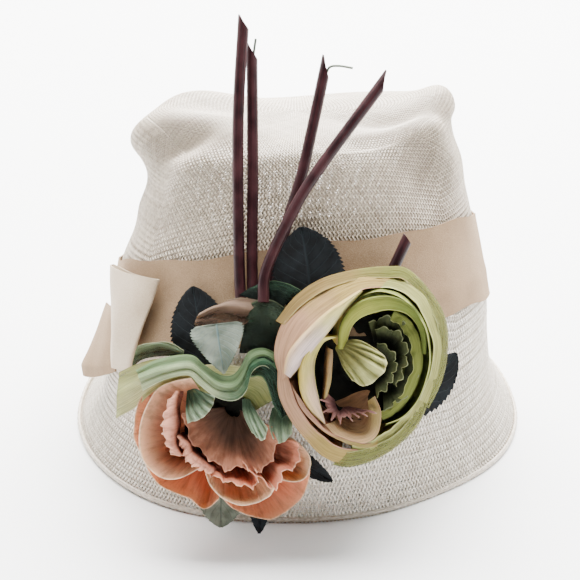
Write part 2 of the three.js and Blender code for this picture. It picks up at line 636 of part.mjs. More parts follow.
for (const flower of FLOWERS) {
  addFitted(`${flower.at}_core`, coreGeometry(flower, 0), coreGeometry(flower, GAP), LOOKS.darkGreen);
}
const fans = BLADES.filter((blade) => blade.at.includes("fan"));
const others = BLADES.filter((blade) => !blade.at.includes("fan"));
const addBlade = (blade) => {
  const solid = (grown) => sheetGeometry(bladeSurface(blade), BLADE_STEPS, LEAF_THICK, grown);
  addFitted(blade.at, solid(0), solid(SHEET_ROOM), LOOKS[blade.look]);
};
fans.forEach(addBlade);
for (const flower of FLOWERS) {
  for (const petal of flower.petals) {
    const solid = (grown) => sheetGeometry(petalSurface(flower, petal), PETAL_STEPS, PETAL_THICK, grown);
    addFitted(`${flower.at}_${petal.at}`, solid(0), solid(SHEET_ROOM), LOOKS[petal.look ?? flower.look]);
  }
}
others.forEach(addBlade);

const bounds = new THREE.Box3().setFromObject(group);
group.position.set(-(bounds.min.x + bounds.max.x) / 2, -(bounds.min.y + bounds.max.y) / 2, -bounds.min.z);

export default group;
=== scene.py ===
# Woven straw cloche with a velvet ribbon band and a spray of fabric flowers.
# Metres, +Z up, the front of the hat towards -Y. It stands on the edge of its brim.
import math

import bpy
import numpy as np
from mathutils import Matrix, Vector


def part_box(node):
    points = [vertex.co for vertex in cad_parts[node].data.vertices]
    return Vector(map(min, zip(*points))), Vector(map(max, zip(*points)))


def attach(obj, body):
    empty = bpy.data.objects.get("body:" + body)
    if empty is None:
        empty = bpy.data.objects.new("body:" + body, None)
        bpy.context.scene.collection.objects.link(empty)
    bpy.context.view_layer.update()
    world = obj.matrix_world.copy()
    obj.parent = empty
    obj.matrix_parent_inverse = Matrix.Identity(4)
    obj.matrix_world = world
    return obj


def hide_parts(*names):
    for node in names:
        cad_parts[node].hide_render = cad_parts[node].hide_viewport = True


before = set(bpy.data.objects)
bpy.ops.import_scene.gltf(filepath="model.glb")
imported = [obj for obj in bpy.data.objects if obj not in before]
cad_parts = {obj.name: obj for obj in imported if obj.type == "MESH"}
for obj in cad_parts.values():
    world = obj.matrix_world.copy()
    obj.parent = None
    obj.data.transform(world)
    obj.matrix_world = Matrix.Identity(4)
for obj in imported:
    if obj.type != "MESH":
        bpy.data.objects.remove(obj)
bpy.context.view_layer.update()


def table(columns, rows):
    """A table with rows that are read by the names of their columns."""
    return [dict(zip(columns, row)) for row in rows]


# Lengths in the tables are millimetres, angles are degrees
MM = 0.001
GAP = 0.3
STRAW_WALL = 1.6
STEM_RADIUS = 2.2
WIRE_RADIUS = 0.5

# The sections of the hat from the edge of the brim to the middle of the top. x, y, z is the centre
# of a section, back and left are the angles it leans by, half is its half width, front and rear are its
# two half depths, and square is the power of its outline: 2 is an ellipse, more is squarer.
SECTION_COLUMNS = ("x", "y", "z", "back", "left", "half", "front", "rear", "square")
SECTIONS = np.array([
    (1, 0, 0, 0, 0, 108, 89, 108, 2.1),
    (1, 0.6, 4, 1.5, 0.5, 105.5, 89.5, 106, 2.1),
    (0, 2, 12, 5, 2, 100.5, 90, 104, 2.1),
    (0, 4, 23, 10, 3, 94, 91.5, 102, 2.15),
    (0, 6, 36, 16, 5.5, 91, 93, 99, 2.2),
    (0, 8, 49, 21.8, 8.2, 89.5, 94.5, 95, 2.25),
    (-0.5, 14, 66.5, 21.8, 8.2, 86, 90.5, 89, 2.3),
    (-0.5, 20, 83.9, 21.8, 8.2, 82, 86, 84, 2.35),
    (1, 24, 98, 21, 8, 77, 82, 80, 2.4),
    (1, 26, 110, 20, 8, 75, 77, 76, 2.4),
    (0.5, 27, 121, 17.5, 8, 71.5, 72, 73, 2.45),
    (0, 26, 130.5, 14.5, 7.5, 69.5, 65, 70, 2.5),
    (0, 24, 137.5, 11, 6.5, 67.5, 53, 64, 2.5),
    (0, 21, 141.5, 8, 5.5, 62, 41, 55, 2.45),
    (0, 19, 144, 6, 4.5, 50, 28, 41, 2.3),
    (0, 18, 145.3, 5, 3.5, 27, 15, 22, 2.1),
    (0, 18, 145.6, 5, 3.5, 0, 0, 0, 2),
])
TOP_ROW = len(SECTIONS) - 1
JOIN_ROW = 6
JOIN_SPREAD = 0.08
BAND_FOOT_ROW = 5
BAND_TOP_ROW = 7

# Soft dents and bulges: the row and angle of the middle, how far it spreads over rows and degrees (rows
# and wide), and its height out from the straw. Angle 0 is the right, 90 the back, 180 the left, 270 the
# front.
DENTS = table(("at", "row", "angle", "rows", "wide", "out"), [
    ("edge_front_left", 0, 232, 3, 24, 2.5),
    ("edge_front_right", 0, 312, 3, 20, -3),
    ("knob", 11.8, 186, 0.8, 22, 4.8),
    ("knob_neck", 9.8, 184, 0.9, 20, -3),
    ("knob_groove", 12.2, 224, 1.1, 9, -4),
    ("left_corner", 10, 232, 2.2, 9, 2.5),
    ("left_top", 13.2, 206, 1.4, 34, 10.5),
    ("left_rise", 13.9, 158, 1, 29, 8.5),
    ("rear_flat", 14.1, 80, 1, 40, -2.8),
    ("front_fold", 11.2, 296, 1.2, 16, -4),
    ("right_ridge", 10.5, 322, 2.5, 9, 3),
    ("right_dent", 8.6, 309, 1.2, 9, -3),
    ("top_dent", 13.4, 322, 1, 12, -4),
    ("right_top", 12.9, 355, 1.2, 24, 9),
])

# The weave: strands that cross at a slant all round the sides and straight over the top. The steps
# down the sides grow from the first to the last, and a strand covers a share of the room it has.
STRANDS_ROUND = 344
SIDE_CELLS = STRANDS_ROUND // 4
TOP_HALF_SIDE = 51.0
TOP_BULGE = 0.13
PATCH_REACH = 7
DISTANCE_STEPS = 321
DISTANCE_TURN = 15
FIRST_ROW_STEP = 1.35
LAST_ROW_STEP = 2.75
ROW_STEP_GROWTH = 5.0
ROW_STEP_LOSS = (LAST_ROW_STEP - FIRST_ROW_STEP) * ROW_STEP_GROWTH
STRAND_THICK = 0.5
STRAND_LIFT = 0.3
COVER_ROWS = (0, BAND_FOOT_ROW, JOIN_ROW, TOP_ROW)
COVERS = (0.74, 0.8, 0.72, 0.72)
FIRST_SEED = 11

# The turned edge of the brim
HEM_STEPS = 480
HEM_SIDES = 14
HEM_INSET = 1.0
HEM_MIDDLE = 1.5
HEM_HALF_HIGH = 1.45
HEM_HALF_WIDE = 0.95
HEM_BULGE = 0.1
HEM_TWISTS = 160

# The ribbon: its thickness, the lift that keeps its inside off the straw, and the waves of the band
RIBBON_THICK = 0.8
RIBBON_LIFT = 0.45
BAND_STEPS = 240
BAND_ROWS = 17
BAND_WAVES = ((0.1, 5, 4), (0.08, 11, -3))
BAND_EDGE_WAVES = ((0.04, 7, 0), (0.025, 17, 1))

# The flattened loop of ribbon at the left and the tail behind it, from the foot up. slant is how far
# the second edge lies above the first, and close is the second edge's own distance from the straw.
LOOP_ROWS = table(("row", "slant", "from", "to", "out", "deep"), [
    (4.6, 0, 219, 226.5, 5.8, 2.4),
    (5.35, 0.1, 218, 230.5, 5.7, 2.9),
    (6.08, 0, 214.5, 233, 5.4, 3.2),
    (6.85, -0.3, 209, 234.5, 5.1, 3.4),
])
TAIL_ROWS = table(("row", "slant", "from", "to", "out", "close"), [
    (3.4, 0.95, 196, 216, 9.5, 2.6),
    (3.8, 0.86, 195, 216, 11, 2.6),
    (4.9, 0.4, 193, 215.5, 7, 2.6),
    (5.9, 0, 197, 214, 3, 2.6),
])
LOOP_STEPS = 32
LOOP_SIDES = 72
LOOP_PINCH = 0.4
LOOP_SQUARENESS = 0.8
LOOP_CREASE = 0.2
TAIL_STEPS = 36
TAIL_COLUMNS = 24

# The spray is laid out in a plane that faces up and forwards: right, up and out of that plane
SPRAY_PLACE = np.array([0.0, -85.0, 62.0])
SPRAY_TILT = math.radians(29)

STEMS = [
    {"at": "stem_1", "slant": 5.4,
     "route": [(-20, 26, 6.4), (-22.3, 46, 7), (-22.8, 105, 10.5), (-20.4, 148, 14)]},
    {"at": "stem_2", "slant": 6.5,
     "route": [(-15.4, 26, 6.4), (-17.4, 46, 6.4), (-17.2, 92, 8), (-17.5, 138.5, 9)]},
    {"at": "stem_3", "slant": 8.5,
     "route": [(-11, 40, 7.4), (-6.5, 60, 7.4), (1.2, 85, 7.6), (5, 101, 8.2), (12, 133.5, 9)]},
    {"at": "stem_4", "slant": 7.5,
     "route": [(-13, 38, 11.8), (-11.9, 50, 12.2), (-3.1, 69.7, 12.8), (7.3, 87.3, 13.4), (35.5, 125.5, 15)]},
    {"at": "stem_5", "slant": 2.5, "route": [(31.6, 38.7, 7.2), (37, 49.7, 7.2), (43.5, 63.6, 7.6)]},
]
STEM_STEPS = 60
STEM_SIDES = 28
STEM_WALL = 0.7
STEM_RIM = 0.25
STEM_RIM_HEIGHT = 0.1
STEM_RIBS = 0.012
STEM_BORE_DEPTH = 4
WIRES = [
    {"at": "wire_2", "route": [(-17.2, 129, 8.8), (-16.8, 134, 9.2), (-16, 140, 9)]},
    {"at": "wire_3", "route": [(10.8, 124, 8.9), (12.4, 128.6, 9.6), (16, 129.4, 9.6), (21.7, 128.6, 9.3)]},
]
WIRE_STEPS = 30
WIRE_SIDES = 12

# Petals are drawn in the photo's pixels, each point with its distance out from the spray's plane. A
# petal is three lines, its foot, its belly and its rim, all with the same count of points. A foot or
# belly given as two numbers follows the next line: a share of the way out from the flower's middle,
# and how much lower it lies. waves and ruffle are the count and height of the waves along the rim,
# where they aren't the usual ones. Some petals have pleats, folds along them, or a middle of their own
# in place of the flower's.
PHOTO_MIDDLE = 290.0
PHOTO_FOCUS = 1016.0
SPRAY_DISTANCE = 403.4
SPRAY_UP = 42.5
SPRAY_RIGHT = -2.7
ROSE = [
    {"at": "outer_left_under", "look": "blush_sheer", "foot": (0.3, 9), "belly": (0.85, 4),
     "rim": [(176, 375, 3), (160, 380, 3), (143, 395, 2), (135, 415, 1), (134, 436, 1), (140, 452, 1)]},
    {"at": "outer_left", "look": "peach", "foot": (0.3, 13), "belly": (0.82, 7),
     "rim": [(191, 378, 8), (173, 381, 8), (157, 389, 7), (146, 408, 6), (140, 428, 5), (140, 449, 5),
             (147, 467, 5), (162, 478, 6), (179, 478, 7), (201, 468, 8)]},
    {"at": "outer_low_left", "look": "peach_deep", "foot": (0.3, 9), "belly": (0.85, 4),
     "rim": [(143, 456, 2), (148, 471, 2), (157, 483, 2.5), (171, 491, 3), (188, 498, 3), (204, 509, 2),
             (219, 499, 3)]},
    {"at": "outer_low", "look": "blush", "foot": (0.3, 12), "belly": (0.85, 5),
     "rim": [(206, 474, 7), (209, 484, 6.5), (216, 493, 6), (227, 501, 5), (242, 505, 5), (257, 503, 5),
             (268, 497, 6), (275, 488, 7)]},
    {"at": "outer_low_right", "look": "peach_deep", "foot": (0.3, 8), "belly": (0.85, 3),
     "rim": [(224, 499, 1), (234, 509, 0), (253, 517, 0), (270, 519, 0), (286, 512, 0), (300, 500, 1),
             (308, 482, 2), (310, 469, 3)]},
    {"at": "outer_right", "look": "blush", "foot": (0.3, 11), "belly": (0.85, 5),
     "rim": [(294, 439, 5), (303, 447, 5), (310, 458, 5), (310, 469, 5), (305, 478, 5), (294, 482, 6),
             (281, 480, 7)]},
    {"at": "outer_top", "look": "sheer", "waves": 3, "ruffle": 0.5, "foot": (0.3, 9), "belly": (0.85, 4),
     "rim": [(171, 380, 4), (193, 368, 5), (219, 365, 5), (246, 367, 5), (270, 376, 5), (283, 395, 4)]},
    {"at": "middle_low", "look": "coral", "waves": 7, "ruffle": 1.1, "foot": (0.3, 12), "belly": (0.82, 6),
     "rim": [(193, 464, 8), (204, 471, 8), (217, 478, 7.5), (230, 483, 7), (244, 486, 7), (254, 488, 7.5),
             (258, 479, 8), (255, 469, 8)]},
    {"at": "middle_right", "look": "coral", "waves": 8, "ruffle": 1.1, "foot": (0.3, 12),
     "belly": (0.82, 6),
     "rim": [(244, 464, 8), (251, 473, 8), (262, 479, 7.5), (273, 490, 7), (280, 484, 7.5), (284, 472, 8),
             (295, 468, 7.5), (300, 454, 7), (297, 441, 7)]},
    {"at": "middle_left", "look": "salmon", "waves": 6, "ruffle": 0.9, "foot": (0.93, 12),
     "belly": [(179, 391, 9), (175, 400, 11), (173, 411, 11.5), (174, 424, 11.5), (173, 436, 11),
             (175, 447, 10.5), (182, 456, 10)],
     "rim": [(175, 391, 8), (168, 402, 8.5), (164, 415, 9), (162, 426, 9), (164, 436, 8.5), (168, 448, 8),
             (174, 456, 8)]},
    {"at": "inner_left", "look": "salmon", "waves": 6, "ruffle": 0.9, "foot": (0.93, 12),
     "belly": [(177, 436, 9), (187, 445, 10), (190, 454, 10.5), (198, 461, 10.5), (206, 466, 10),
             (214, 472, 9.5)],
     "rim": [(179, 439, 8), (182, 450, 8), (185, 459, 8), (193, 466, 8), (203, 471, 8), (209, 474, 8)]},
    {"at": "inner_right", "look": "dusk", "waves": 8, "ruffle": 1.3, "middle": (232, 408),
     "foot": (0.25, 7), "belly": (0.7, 4),
     "rim": [(183, 412, 6), (186, 430, 6), (196, 447, 6), (208, 458, 6), (219, 466, 6), (230, 471, 6),
             (242, 466, 6), (253, 472, 6.5), (264, 469, 6.5), (273, 458, 6.5), (277, 443, 6.5),
             (273, 428, 6.5)]},
]
RANUNCULUS = [
    {"at": "outer_top", "look": "tan_green", "foot": (0.2, 7),
     "belly": [(280, 323, 10), (300, 298, 10), (325, 282, 10), (358, 274, 10), (384, 271, 10),
             (404, 273, 9), (421, 287, 8)],
     "rim": [(284, 325, 15), (304, 304, 16), (329, 288, 16), (359, 280, 15), (384, 278, 14), (402, 279, 13),
             (418, 292, 12)]},
    {"at": "outer_left", "look": "tan", "foot": (0.3, 9),
     "belly": [(284, 382, 10), (276, 355, 11), (282, 326, 12), (302, 303, 12), (329, 288, 12),
             (359, 280, 12), (390, 280, 11)],
     "rim": [(288, 375, 17), (297, 352, 20), (312, 330, 21), (328, 315, 21), (344, 302, 20), (363, 290, 18),
             (388, 287, 15)]},
    {"at": "middle_left", "look": "shell", "waves": 1, "ruffle": 0.2, "foot": (1.05, 11),
     "belly": [(285, 374, 18), (291, 354, 21), (306, 335, 22.5), (323, 318, 22.5), (341, 304, 21.5),
             (361, 290, 19)],
     "rim": [(290, 378, 16), (304, 362, 18), (318, 344, 18.5), (332, 328, 18), (347, 309, 17),
             (363, 291, 16)]},
    {"at": "inner_left", "look": "butter", "waves": 1, "ruffle": 0.2, "foot": (1.05, 10),
     "belly": [(337, 336, 16), (317, 340, 18.5), (304, 359, 19.5), (302, 386, 19.5), (310, 408, 18),
             (325, 424, 15)],
     "rim": [(337, 337, 15), (324, 342, 14), (316, 357, 13), (315, 376, 13), (319, 398, 13),
             (325, 422, 13)]},
    {"at": "inner_left_under", "look": "beige", "waves": 1, "ruffle": 0.2, "foot": (1.08, 7),
     "belly": [(329, 348, 13), (328, 365, 15), (327, 382, 15), (324, 399, 13)],
     "rim": [(333, 350, 12), (332, 365, 12), (331, 380, 12), (327, 396, 11)]},
    {"at": "outer_low", "look": "tan", "foot": (0.2, 7),
     "belly": [(281, 365, 10), (281, 392, 10), (292, 416, 10), (306, 435, 10), (321, 451, 10),
             (340, 462, 9)],
     "rim": [(288, 376, 16), (297, 404, 17), (310, 423, 17), (323, 436, 16), (338, 446, 15),
             (358, 450, 13)]},
    {"at": "middle_low", "look": "tan_pink", "foot": (0.8, 9),
     "belly": [(291, 382, 15), (300, 405, 16), (312, 419, 16), (325, 431, 15), (342, 440, 14),
             (361, 446, 13), (376, 446, 12)],
     "rim": [(306, 407, 18), (316, 420, 18), (328, 431, 17), (342, 438, 16), (356, 442, 15), (369, 443, 14),
             (379, 438, 13)]},
    {"at": "disc", "look": "beige", "waves": 1, "ruffle": 0.2, "middle": (352, 409),
     "foot": [(324, 408, 9), (334, 402, 8), (344, 398, 8), (352, 394, 8), (360, 391, 9), (366, 390, 10),
             (370, 391, 11)], "belly": (0.6, 4),
     "rim": [(325, 425, 13), (338, 438, 14), (358, 444, 14.5), (373, 439, 14.5), (380, 426, 14.5),
             (381, 411, 14), (375, 396, 13)]},
    {"at": "middle_right", "look": "lime", "middle": (380, 361), "foot": (0.6, 12), "belly": (1.03, 6),
     "rim": [(347, 308, 15), (363, 296, 17), (384, 292, 18), (407, 302, 18), (423, 323, 18), (429, 348, 17),
             (428, 372, 17), (420, 397, 16), (404, 416, 15), (386, 424, 14)]},
    {"at": "inner_right", "look": "lime_bright", "middle": (380, 361), "foot": (1.0, 8),
     "belly": [(339, 349, 17), (341, 327, 19), (352, 309, 20), (370, 299, 20), (394, 298, 19),
             (415, 310, 18), (425, 332, 17), (426, 354, 16)],
     "rim": [(346, 349, 15), (350, 330, 16), (360, 318, 16.5), (375, 312, 16), (390, 310, 15.5),
             (408, 315, 15), (420, 332, 14), (422, 354, 13)]},
    {"at": "inner_top_left", "look": "butter",
     "foot": [(363, 295, 13), (349, 304, 13), (338, 319, 13), (331, 337, 12)],
     "belly": [(362, 299, 16), (351, 309, 16), (343, 324, 15), (337, 345, 14)],
     "rim": [(369, 301, 14), (358, 313, 13), (351, 328, 13), (345, 350, 12)]},
    {"at": "inner_right_under", "look": "lime", "waves": 5, "ruffle": 0.8, "foot": (0.6, 8),
     "belly": [(394, 311, 14), (411, 323, 14), (420, 345, 14), (421, 368, 14), (413, 390, 14),
             (399, 409, 13), (383, 419, 12)],
     "rim": [(390, 319, 13), (403, 330, 13), (411, 347, 13), (412, 368, 13), (405, 387, 13), (393, 403, 12),
             (379, 412, 12)]},
    {"at": "ruffle_outer", "look": "moss", "waves": 7, "ruffle": 1.7, "middle": (380, 365),
     "foot": (0.45, 8), "belly": (0.75, 3),
     "rim": [(369, 323, 13), (386, 317, 13), (405, 325, 13), (415, 340, 13), (418, 361, 13), (413, 382, 13),
             (400, 401, 13), (384, 409, 12)]},
    {"at": "ruffle_inner", "look": "moss", "waves": 5, "ruffle": 1.6, "middle": (380, 361),
     "foot": (0.4, 7), "belly": (0.8, 3),
     "rim": [(376, 329, 14), (392, 329, 14), (403, 338, 14), (407, 354, 14), (403, 371, 14),
             (396, 388, 14)]},
    {"at": "outer_right_under", "look": "olive_light", "waves": 3, "ruffle": 0.4, "foot": (0.3, 7),
     "belly": [(366, 281, 10), (396, 281, 10), (420, 297, 10), (434, 322, 10), (438, 350, 10),
             (434, 378, 10), (424, 402, 10)],
     "rim": [(366, 289, 16), (396, 289, 16), (415, 303, 16), (428, 326, 16), (433, 350, 15), (429, 378, 15),
             (419, 400, 15)]},
    {"at": "outer_low_under", "look": "olive_light", "waves": 3, "ruffle": 0.4, "foot": (0.3, 7),
     "belly": [(428, 390, 9), (414, 418, 9), (396, 436, 9), (374, 449, 9), (350, 456, 9)],
     "rim": [(424, 392, 14), (409, 412, 14), (391, 428, 14), (372, 440, 14), (352, 446, 14)]},
    {"at": "outer_right", "look": "olive", "waves": 2, "ruffle": 0.4, "foot": (0.2, 7),
     "belly": [(402, 271, 9), (424, 290, 9), (440, 317, 9), (444, 346, 9), (439, 376, 9), (426, 407, 9)],
     "rim": [(403, 279, 13), (421, 299, 13), (435, 321, 13), (438, 346, 13), (434, 374, 13),
             (421, 402, 13)]},
    {"at": "outer_low_right", "look": "olive", "waves": 2, "ruffle": 0.4, "foot": (0.2, 7),
     "belly": [(426, 399, 9), (415, 423, 9), (396, 442, 9), (375, 456, 9), (352, 463, 9), (334, 462, 9)],
     "rim": [(421, 397, 13), (410, 418, 13), (393, 435, 13), (373, 446, 13), (354, 451, 13),
             (338, 449, 13)]},
    {"at": "crumple", "look": "mauve", "waves": 8, "ruffle": 2.4, "middle": (340, 403), "foot": (0.1, 5),
     "belly": (0.6, 2),
     "rim": [(323, 390, 12), (325, 409, 13), (336, 420, 13), (352, 417, 14), (363, 414, 14),
             (376, 411, 14)]},
    {"at": "ruffle_low", "look": "moss", "waves": 5, "ruffle": 1.4, "middle": (374, 368), "foot": (0.4, 6),
     "belly": (0.8, 3),
     "rim": [(378, 343, 13), (390, 349, 13.5), (396, 361, 13.5), (393, 376, 13.5), (386, 388, 13),
             (376, 396, 12.5)]},
]
LOOSE = [
    {"at": "sheer_mint", "look": "mint", "folds": 2.5,
     "foot": [(136, 370, 5), (160, 359, 6), (190, 355, 8), (204, 365, 9), (220, 375, 9), (233, 375, 9),
             (242, 365, 9), (249, 352, 9), (264, 348, 9), (281, 356, 8)],
     "belly": [(139, 378, 8), (162, 370, 10), (189, 366, 12), (203, 375, 14), (218, 387, 15),
             (234, 389, 15), (244, 378, 14), (250, 363, 13), (264, 357, 12), (280, 366, 11)],
     "rim": [(143, 391, 8), (164, 380, 10), (187, 375, 12), (199, 384, 13), (216, 397, 13.5),
             (234, 401, 14), (246, 391, 13), (252, 373, 12), (264, 366, 12), (277, 375, 11)]},
    {"at": "sheer_dark", "look": "dark_sheer", "waves": 3, "ruffle": 0.5, "folds": 2,
     "foot": [(249, 346, 6), (264, 348, 6), (277, 357, 6), (285, 372, 5), (288, 391, 4), (290, 410, 3)],
     "belly": [(246, 359, 10), (262, 356, 11), (275, 367, 11), (280, 382, 10), (283, 398, 9),
             (286, 415, 7)],
     "rim": [(246, 384, 10), (252, 377, 10.5), (262, 377, 11), (268, 389, 10), (273, 402, 9),
             (281, 419, 7)]},
    {"at": "sheer_left", "look": "sheer", "waves": 2, "ruffle": 0.4, "folds": 1.5,
     "foot": [(197, 363, 4), (176, 358, 3), (156, 359, 2), (137, 364, 1), (119, 372, 0)],
     "belly": [(193, 372, 7), (175, 370, 6), (155, 375, 5), (136, 385, 3), (117, 396, 1)],
     "rim": [(190, 377, 6), (173, 381, 5), (155, 391, 3), (137, 406, 1), (116, 419, -1)]},
    {"at": "sheer_back", "look": "grey_sheer", "waves": 2, "ruffle": 0.4, "folds": 1.5,
     "foot": [(132, 367, 0), (143, 359, 0), (162, 356, 1), (182, 356, 2)],
     "belly": [(134, 356, 2), (145, 349, 2), (164, 346, 2), (184, 353, 3)],
     "rim": [(138, 346, 3), (150, 343, 3), (167, 342, 3), (184, 350, 4)]},
    {"at": "gauze", "look": "gauze", "waves": 2, "ruffle": 0.2, "folds": 1.5,
     "foot": [(194, 326, 9), (214, 327, 9.5), (234, 327, 10), (248, 323, 10)],
     "belly": [(196, 319, 9.5), (214, 311, 10), (232, 309, 10.5), (250, 311, 10.5)],
     "rim": [(200, 313, 9), (216, 305, 9.5), (238, 298, 10), (266, 301, 10)]},
    {"at": "organza", "look": "organza", "waves": 2, "ruffle": 0.4, "folds": 1.5,
     "foot": [(239, 353, 7), (254, 353, 7.5), (268, 353, 7), (280, 355, 6)],
     "belly": [(244, 327, 9.5), (258, 323, 10.5), (272, 323, 10.5), (284, 329, 9)],
     "rim": [(248, 305, 9.5), (262, 299, 10.5), (276, 302, 10.5), (290, 311, 9)]},
    # leaf_shadow is a dark sheer sheet laid where a leaf's shadow falls: painted shadow
    {"at": "leaf_shadow", "look": "dark_sheer",
     "foot": [(239, 295, 9), (254, 299, 9.5), (270, 303, 9.5), (282, 309, 9)],
     "belly": [(248, 289, 9.5), (262, 289, 10), (280, 292, 10), (290, 299, 9)],
     "rim": [(258, 284, 9), (274, 281, 9.5), (290, 284, 9.5), (303, 292, 8.5)]},
    {"at": "rose_fan_left", "look": "mint_fan", "waves": 0, "ruffle": 0, "pleats": 5,
     "foot": [(187, 391, 3), (190, 390, 3), (193, 389, 3), (197, 389, 3)],
     "belly": [(186, 410, 7), (194, 408, 8.5), (203, 400, 8.5), (206, 393, 7)],
     "rim": [(188, 423, 9), (202, 418, 10), (212, 407, 10), (215, 396, 9)]},
    {"at": "rose_fan_right", "look": "mint_fan", "waves": 0, "ruffle": 0, "pleats": 4,
     "foot": [(242, 400, 3), (244, 399, 3), (247, 399, 3), (250, 400, 3)],
     "belly": [(244, 415, 7), (248, 417, 8), (253, 417, 8), (258, 414, 7)],
     "rim": [(252, 432, 8), (258, 438, 9), (264, 440, 9), (268, 428, 8)]},
    {"at": "rose_fan_small", "look": "mint_fan", "waves": 0, "ruffle": 0, "pleats": 3,
     "foot": [(272, 408, 3), (278, 406, 3.5), (284, 407, 3.5), (291, 411, 3)],
     "belly": [(269, 424, 5), (277, 429, 6), (284, 428, 6), (292, 423, 5)],
     "rim": [(273, 438, 6), (279, 443, 6.5), (285, 441, 6.5), (292, 433, 6)]},
    {"at": "ranunculus_fan", "look": "fan", "waves": 0, "ruffle": 0, "pleats": 6,
     "foot": [(336, 350, 14), (336, 347, 14.5), (338, 344, 15), (341, 342, 15), (345, 340, 15)],
     "belly": [(343, 367, 16), (352, 368, 18.5), (363, 359, 19.5), (365, 350, 19), (359, 340, 17.5)],
     "rim": [(352, 380, 17), (366, 386, 18), (384, 372, 19), (386, 359, 18.5), (376, 349, 17.5)]},
]
FLOWERS = [
    {"at": "rose", "middle": (-29.7, -13.1, -9), "core": 8.5, "cup": 15, "pixel": (220, 434),
     "petals": ROSE},
    {"at": "ranunculus", "middle": (24.3, 13.2, 3), "core": 8, "cup": 21, "pixel": (360, 366),
     "petals": RANUNCULUS},
]
NO_FLOWER = {"at": "loose", "core": None, "pixel": (290, 400)}
CORE_FLATNESS = 0.62
CORE_ROWS = 33
CORE_SIDES = 48
CORE_TIP = 0.04
CUP_SIDES = 80
CUP_ROWS = 16
CUP_HOLE = 0.08
CUP_LIFT = 1.0
CUP_DEPTH = 6.0
PETAL_WAVES = 2
PETAL_RUFFLE = 0.3
RUFFLE_GROWTH = 2.5
PETAL_ROWS = 15
PETAL_MIN_COLUMNS = 49
WAVE_COLUMNS = 14
PLEAT_COLUMNS = 12
PETAL_THICK = 0.55
EDGE_THINNING = 0.6
PLEAT_HEIGHT = 1.3
CRINKLE_HEIGHT = 0.13
FOLD_HEIGHT = 0.8

# Leaves run from the base past a bend to the tip, with half the width and two powers, near and far,
# that put the widest place near the base or near the tip. teeth is the count of notches along each edge.
BLADES = table(("at", "look", "base", "bend", "tip", "half", "near", "far", "teeth"), [
    ("leaf_under", "leaf_under", (-31, 29.5, 12.5), (-30, 22, 14), (-28, 10.5, 13.8), 10.5, 0.15, 0.8, 16),
    ("leaf_top", "leaf", (6, 32, 7), (5, 50, 8), (1.5, 67, 8), 14.5, 0.6, 0.7, 22),
    ("leaf_left", "leaf", (-34, 6, -4), (-38, 24, 1), (-41.4, 44, 0), 12.5, 0.6, 0.7, 22),
    ("leaf_right", "leaf", (27, 9, 0), (48, -10, -8), (65, 17, -10), 11, 0.6, 0.7, 24),
    ("leaf_low_left", "leaf_low", (-30, -18, -10), (-31, -40, -12), (-31, -55, -14), 11, 0.6, 0.7, 20),
    ("leaf_low", "leaf", (-24, -18, -10.5), (-14, -40, -12), (-15.4, -57.5, -14), 5.5, 0.6, 0.7, 18),
    ("leaf_low_right", "leaf", (-22, -10, -8), (0, -26, -8), (14.5, -35, -8), 5, 0.6, 0.7, 18),
])
BLADE_ROWS = 13
TOOTH_COLUMNS = 6
TOOTH_DEPTH = 0.1
BLADE_MIN_HALF = 0.6
BLADE_CUP = 0.12
LEAF_THICK = 0.6

# No sheet's measured side is taken as shorter than this, in metres. No sheet is
# declared with a side shorter than this, in metres
MIN_SHEET_SIDE = 0.0101

# Camera: the photo's angle, in the frame of the tables
CAMERA_TARGET = np.array([-2.7, 0.0, 63.5])
CAMERA_DISTANCE = 477.0
CAMERA_ELEVATION = math.radians(29)
CAMERA_LENS = 63.06
SENSOR_WIDTH = 36.0

# Floor, sky and lights, in metres and watts. The sky is weak as a light and bright where it is seen.
FLOOR_HALF = 2.4
SKY_COLOUR = (0.93, 0.96, 1.0, 1.0)
SKY_LIGHT = 0.03
SKY_SEEN = 2.6
LIGHT_TARGET = Vector((0, 0, 0.08))
LIGHTS = table(("at", "place", "size", "power", "colour"), [
    ("window", (0.1, 0.9, 1.6), 2.0, 430, (1.0, 0.99, 0.97)),
    ("left", (-1.3, 0.35, 0.7), 1.2, 26, (1.0, 0.99, 0.97)),
    ("right", (1.4, 0.35, 0.7), 1.2, 34, (1.0, 0.99, 0.97)),
    ("fill", (0.2, -1.2, 1.0), 1.4, 0.5, (1.0, 0.98, 0.96)),
])

# The tables' place in the frame: the rear and the middle of the brim's edge are known in both
BRIM_LOW, BRIM_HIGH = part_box("brim")
EDGE_REAR = 108.0
EDGE_MIDDLE = 1.0
TABLE_PLACE = np.array([
    (BRIM_LOW[0] + BRIM_HIGH[0]) / 2 - EDGE_MIDDLE * MM,
    BRIM_HIGH[1] - EDGE_REAR * MM,
    0.0,
])


def in_frame(points):
    """Moves table millimetres into the frame's metres."""
    return points * MM + TABLE_PLACE


def column(name, row):
    """One column of the section table at any row: a smooth cubic through the two rows on each side."""
    values = SECTIONS[:, SECTION_COLUMNS.index(name)]
    low = np.minimum(np.floor(row).astype(int), TOP_ROW - 1)
    f = row - low
    a = values[np.clip(low - 1, 0, TOP_ROW)]
    b = values[low]
    c = values[low + 1]
    d = values[np.clip(low + 2, 0, TOP_ROW)]
    slope_b = (c - a) / 2
    slope_c = (d - b) / 2
    cubic = (2 * f**3 - 3 * f**2 + 1) * b + (f**3 - 2 * f**2 + f) * slope_b
    return cubic + (3 * f**2 - 2 * f**3) * c + (f**3 - f**2) * slope_c


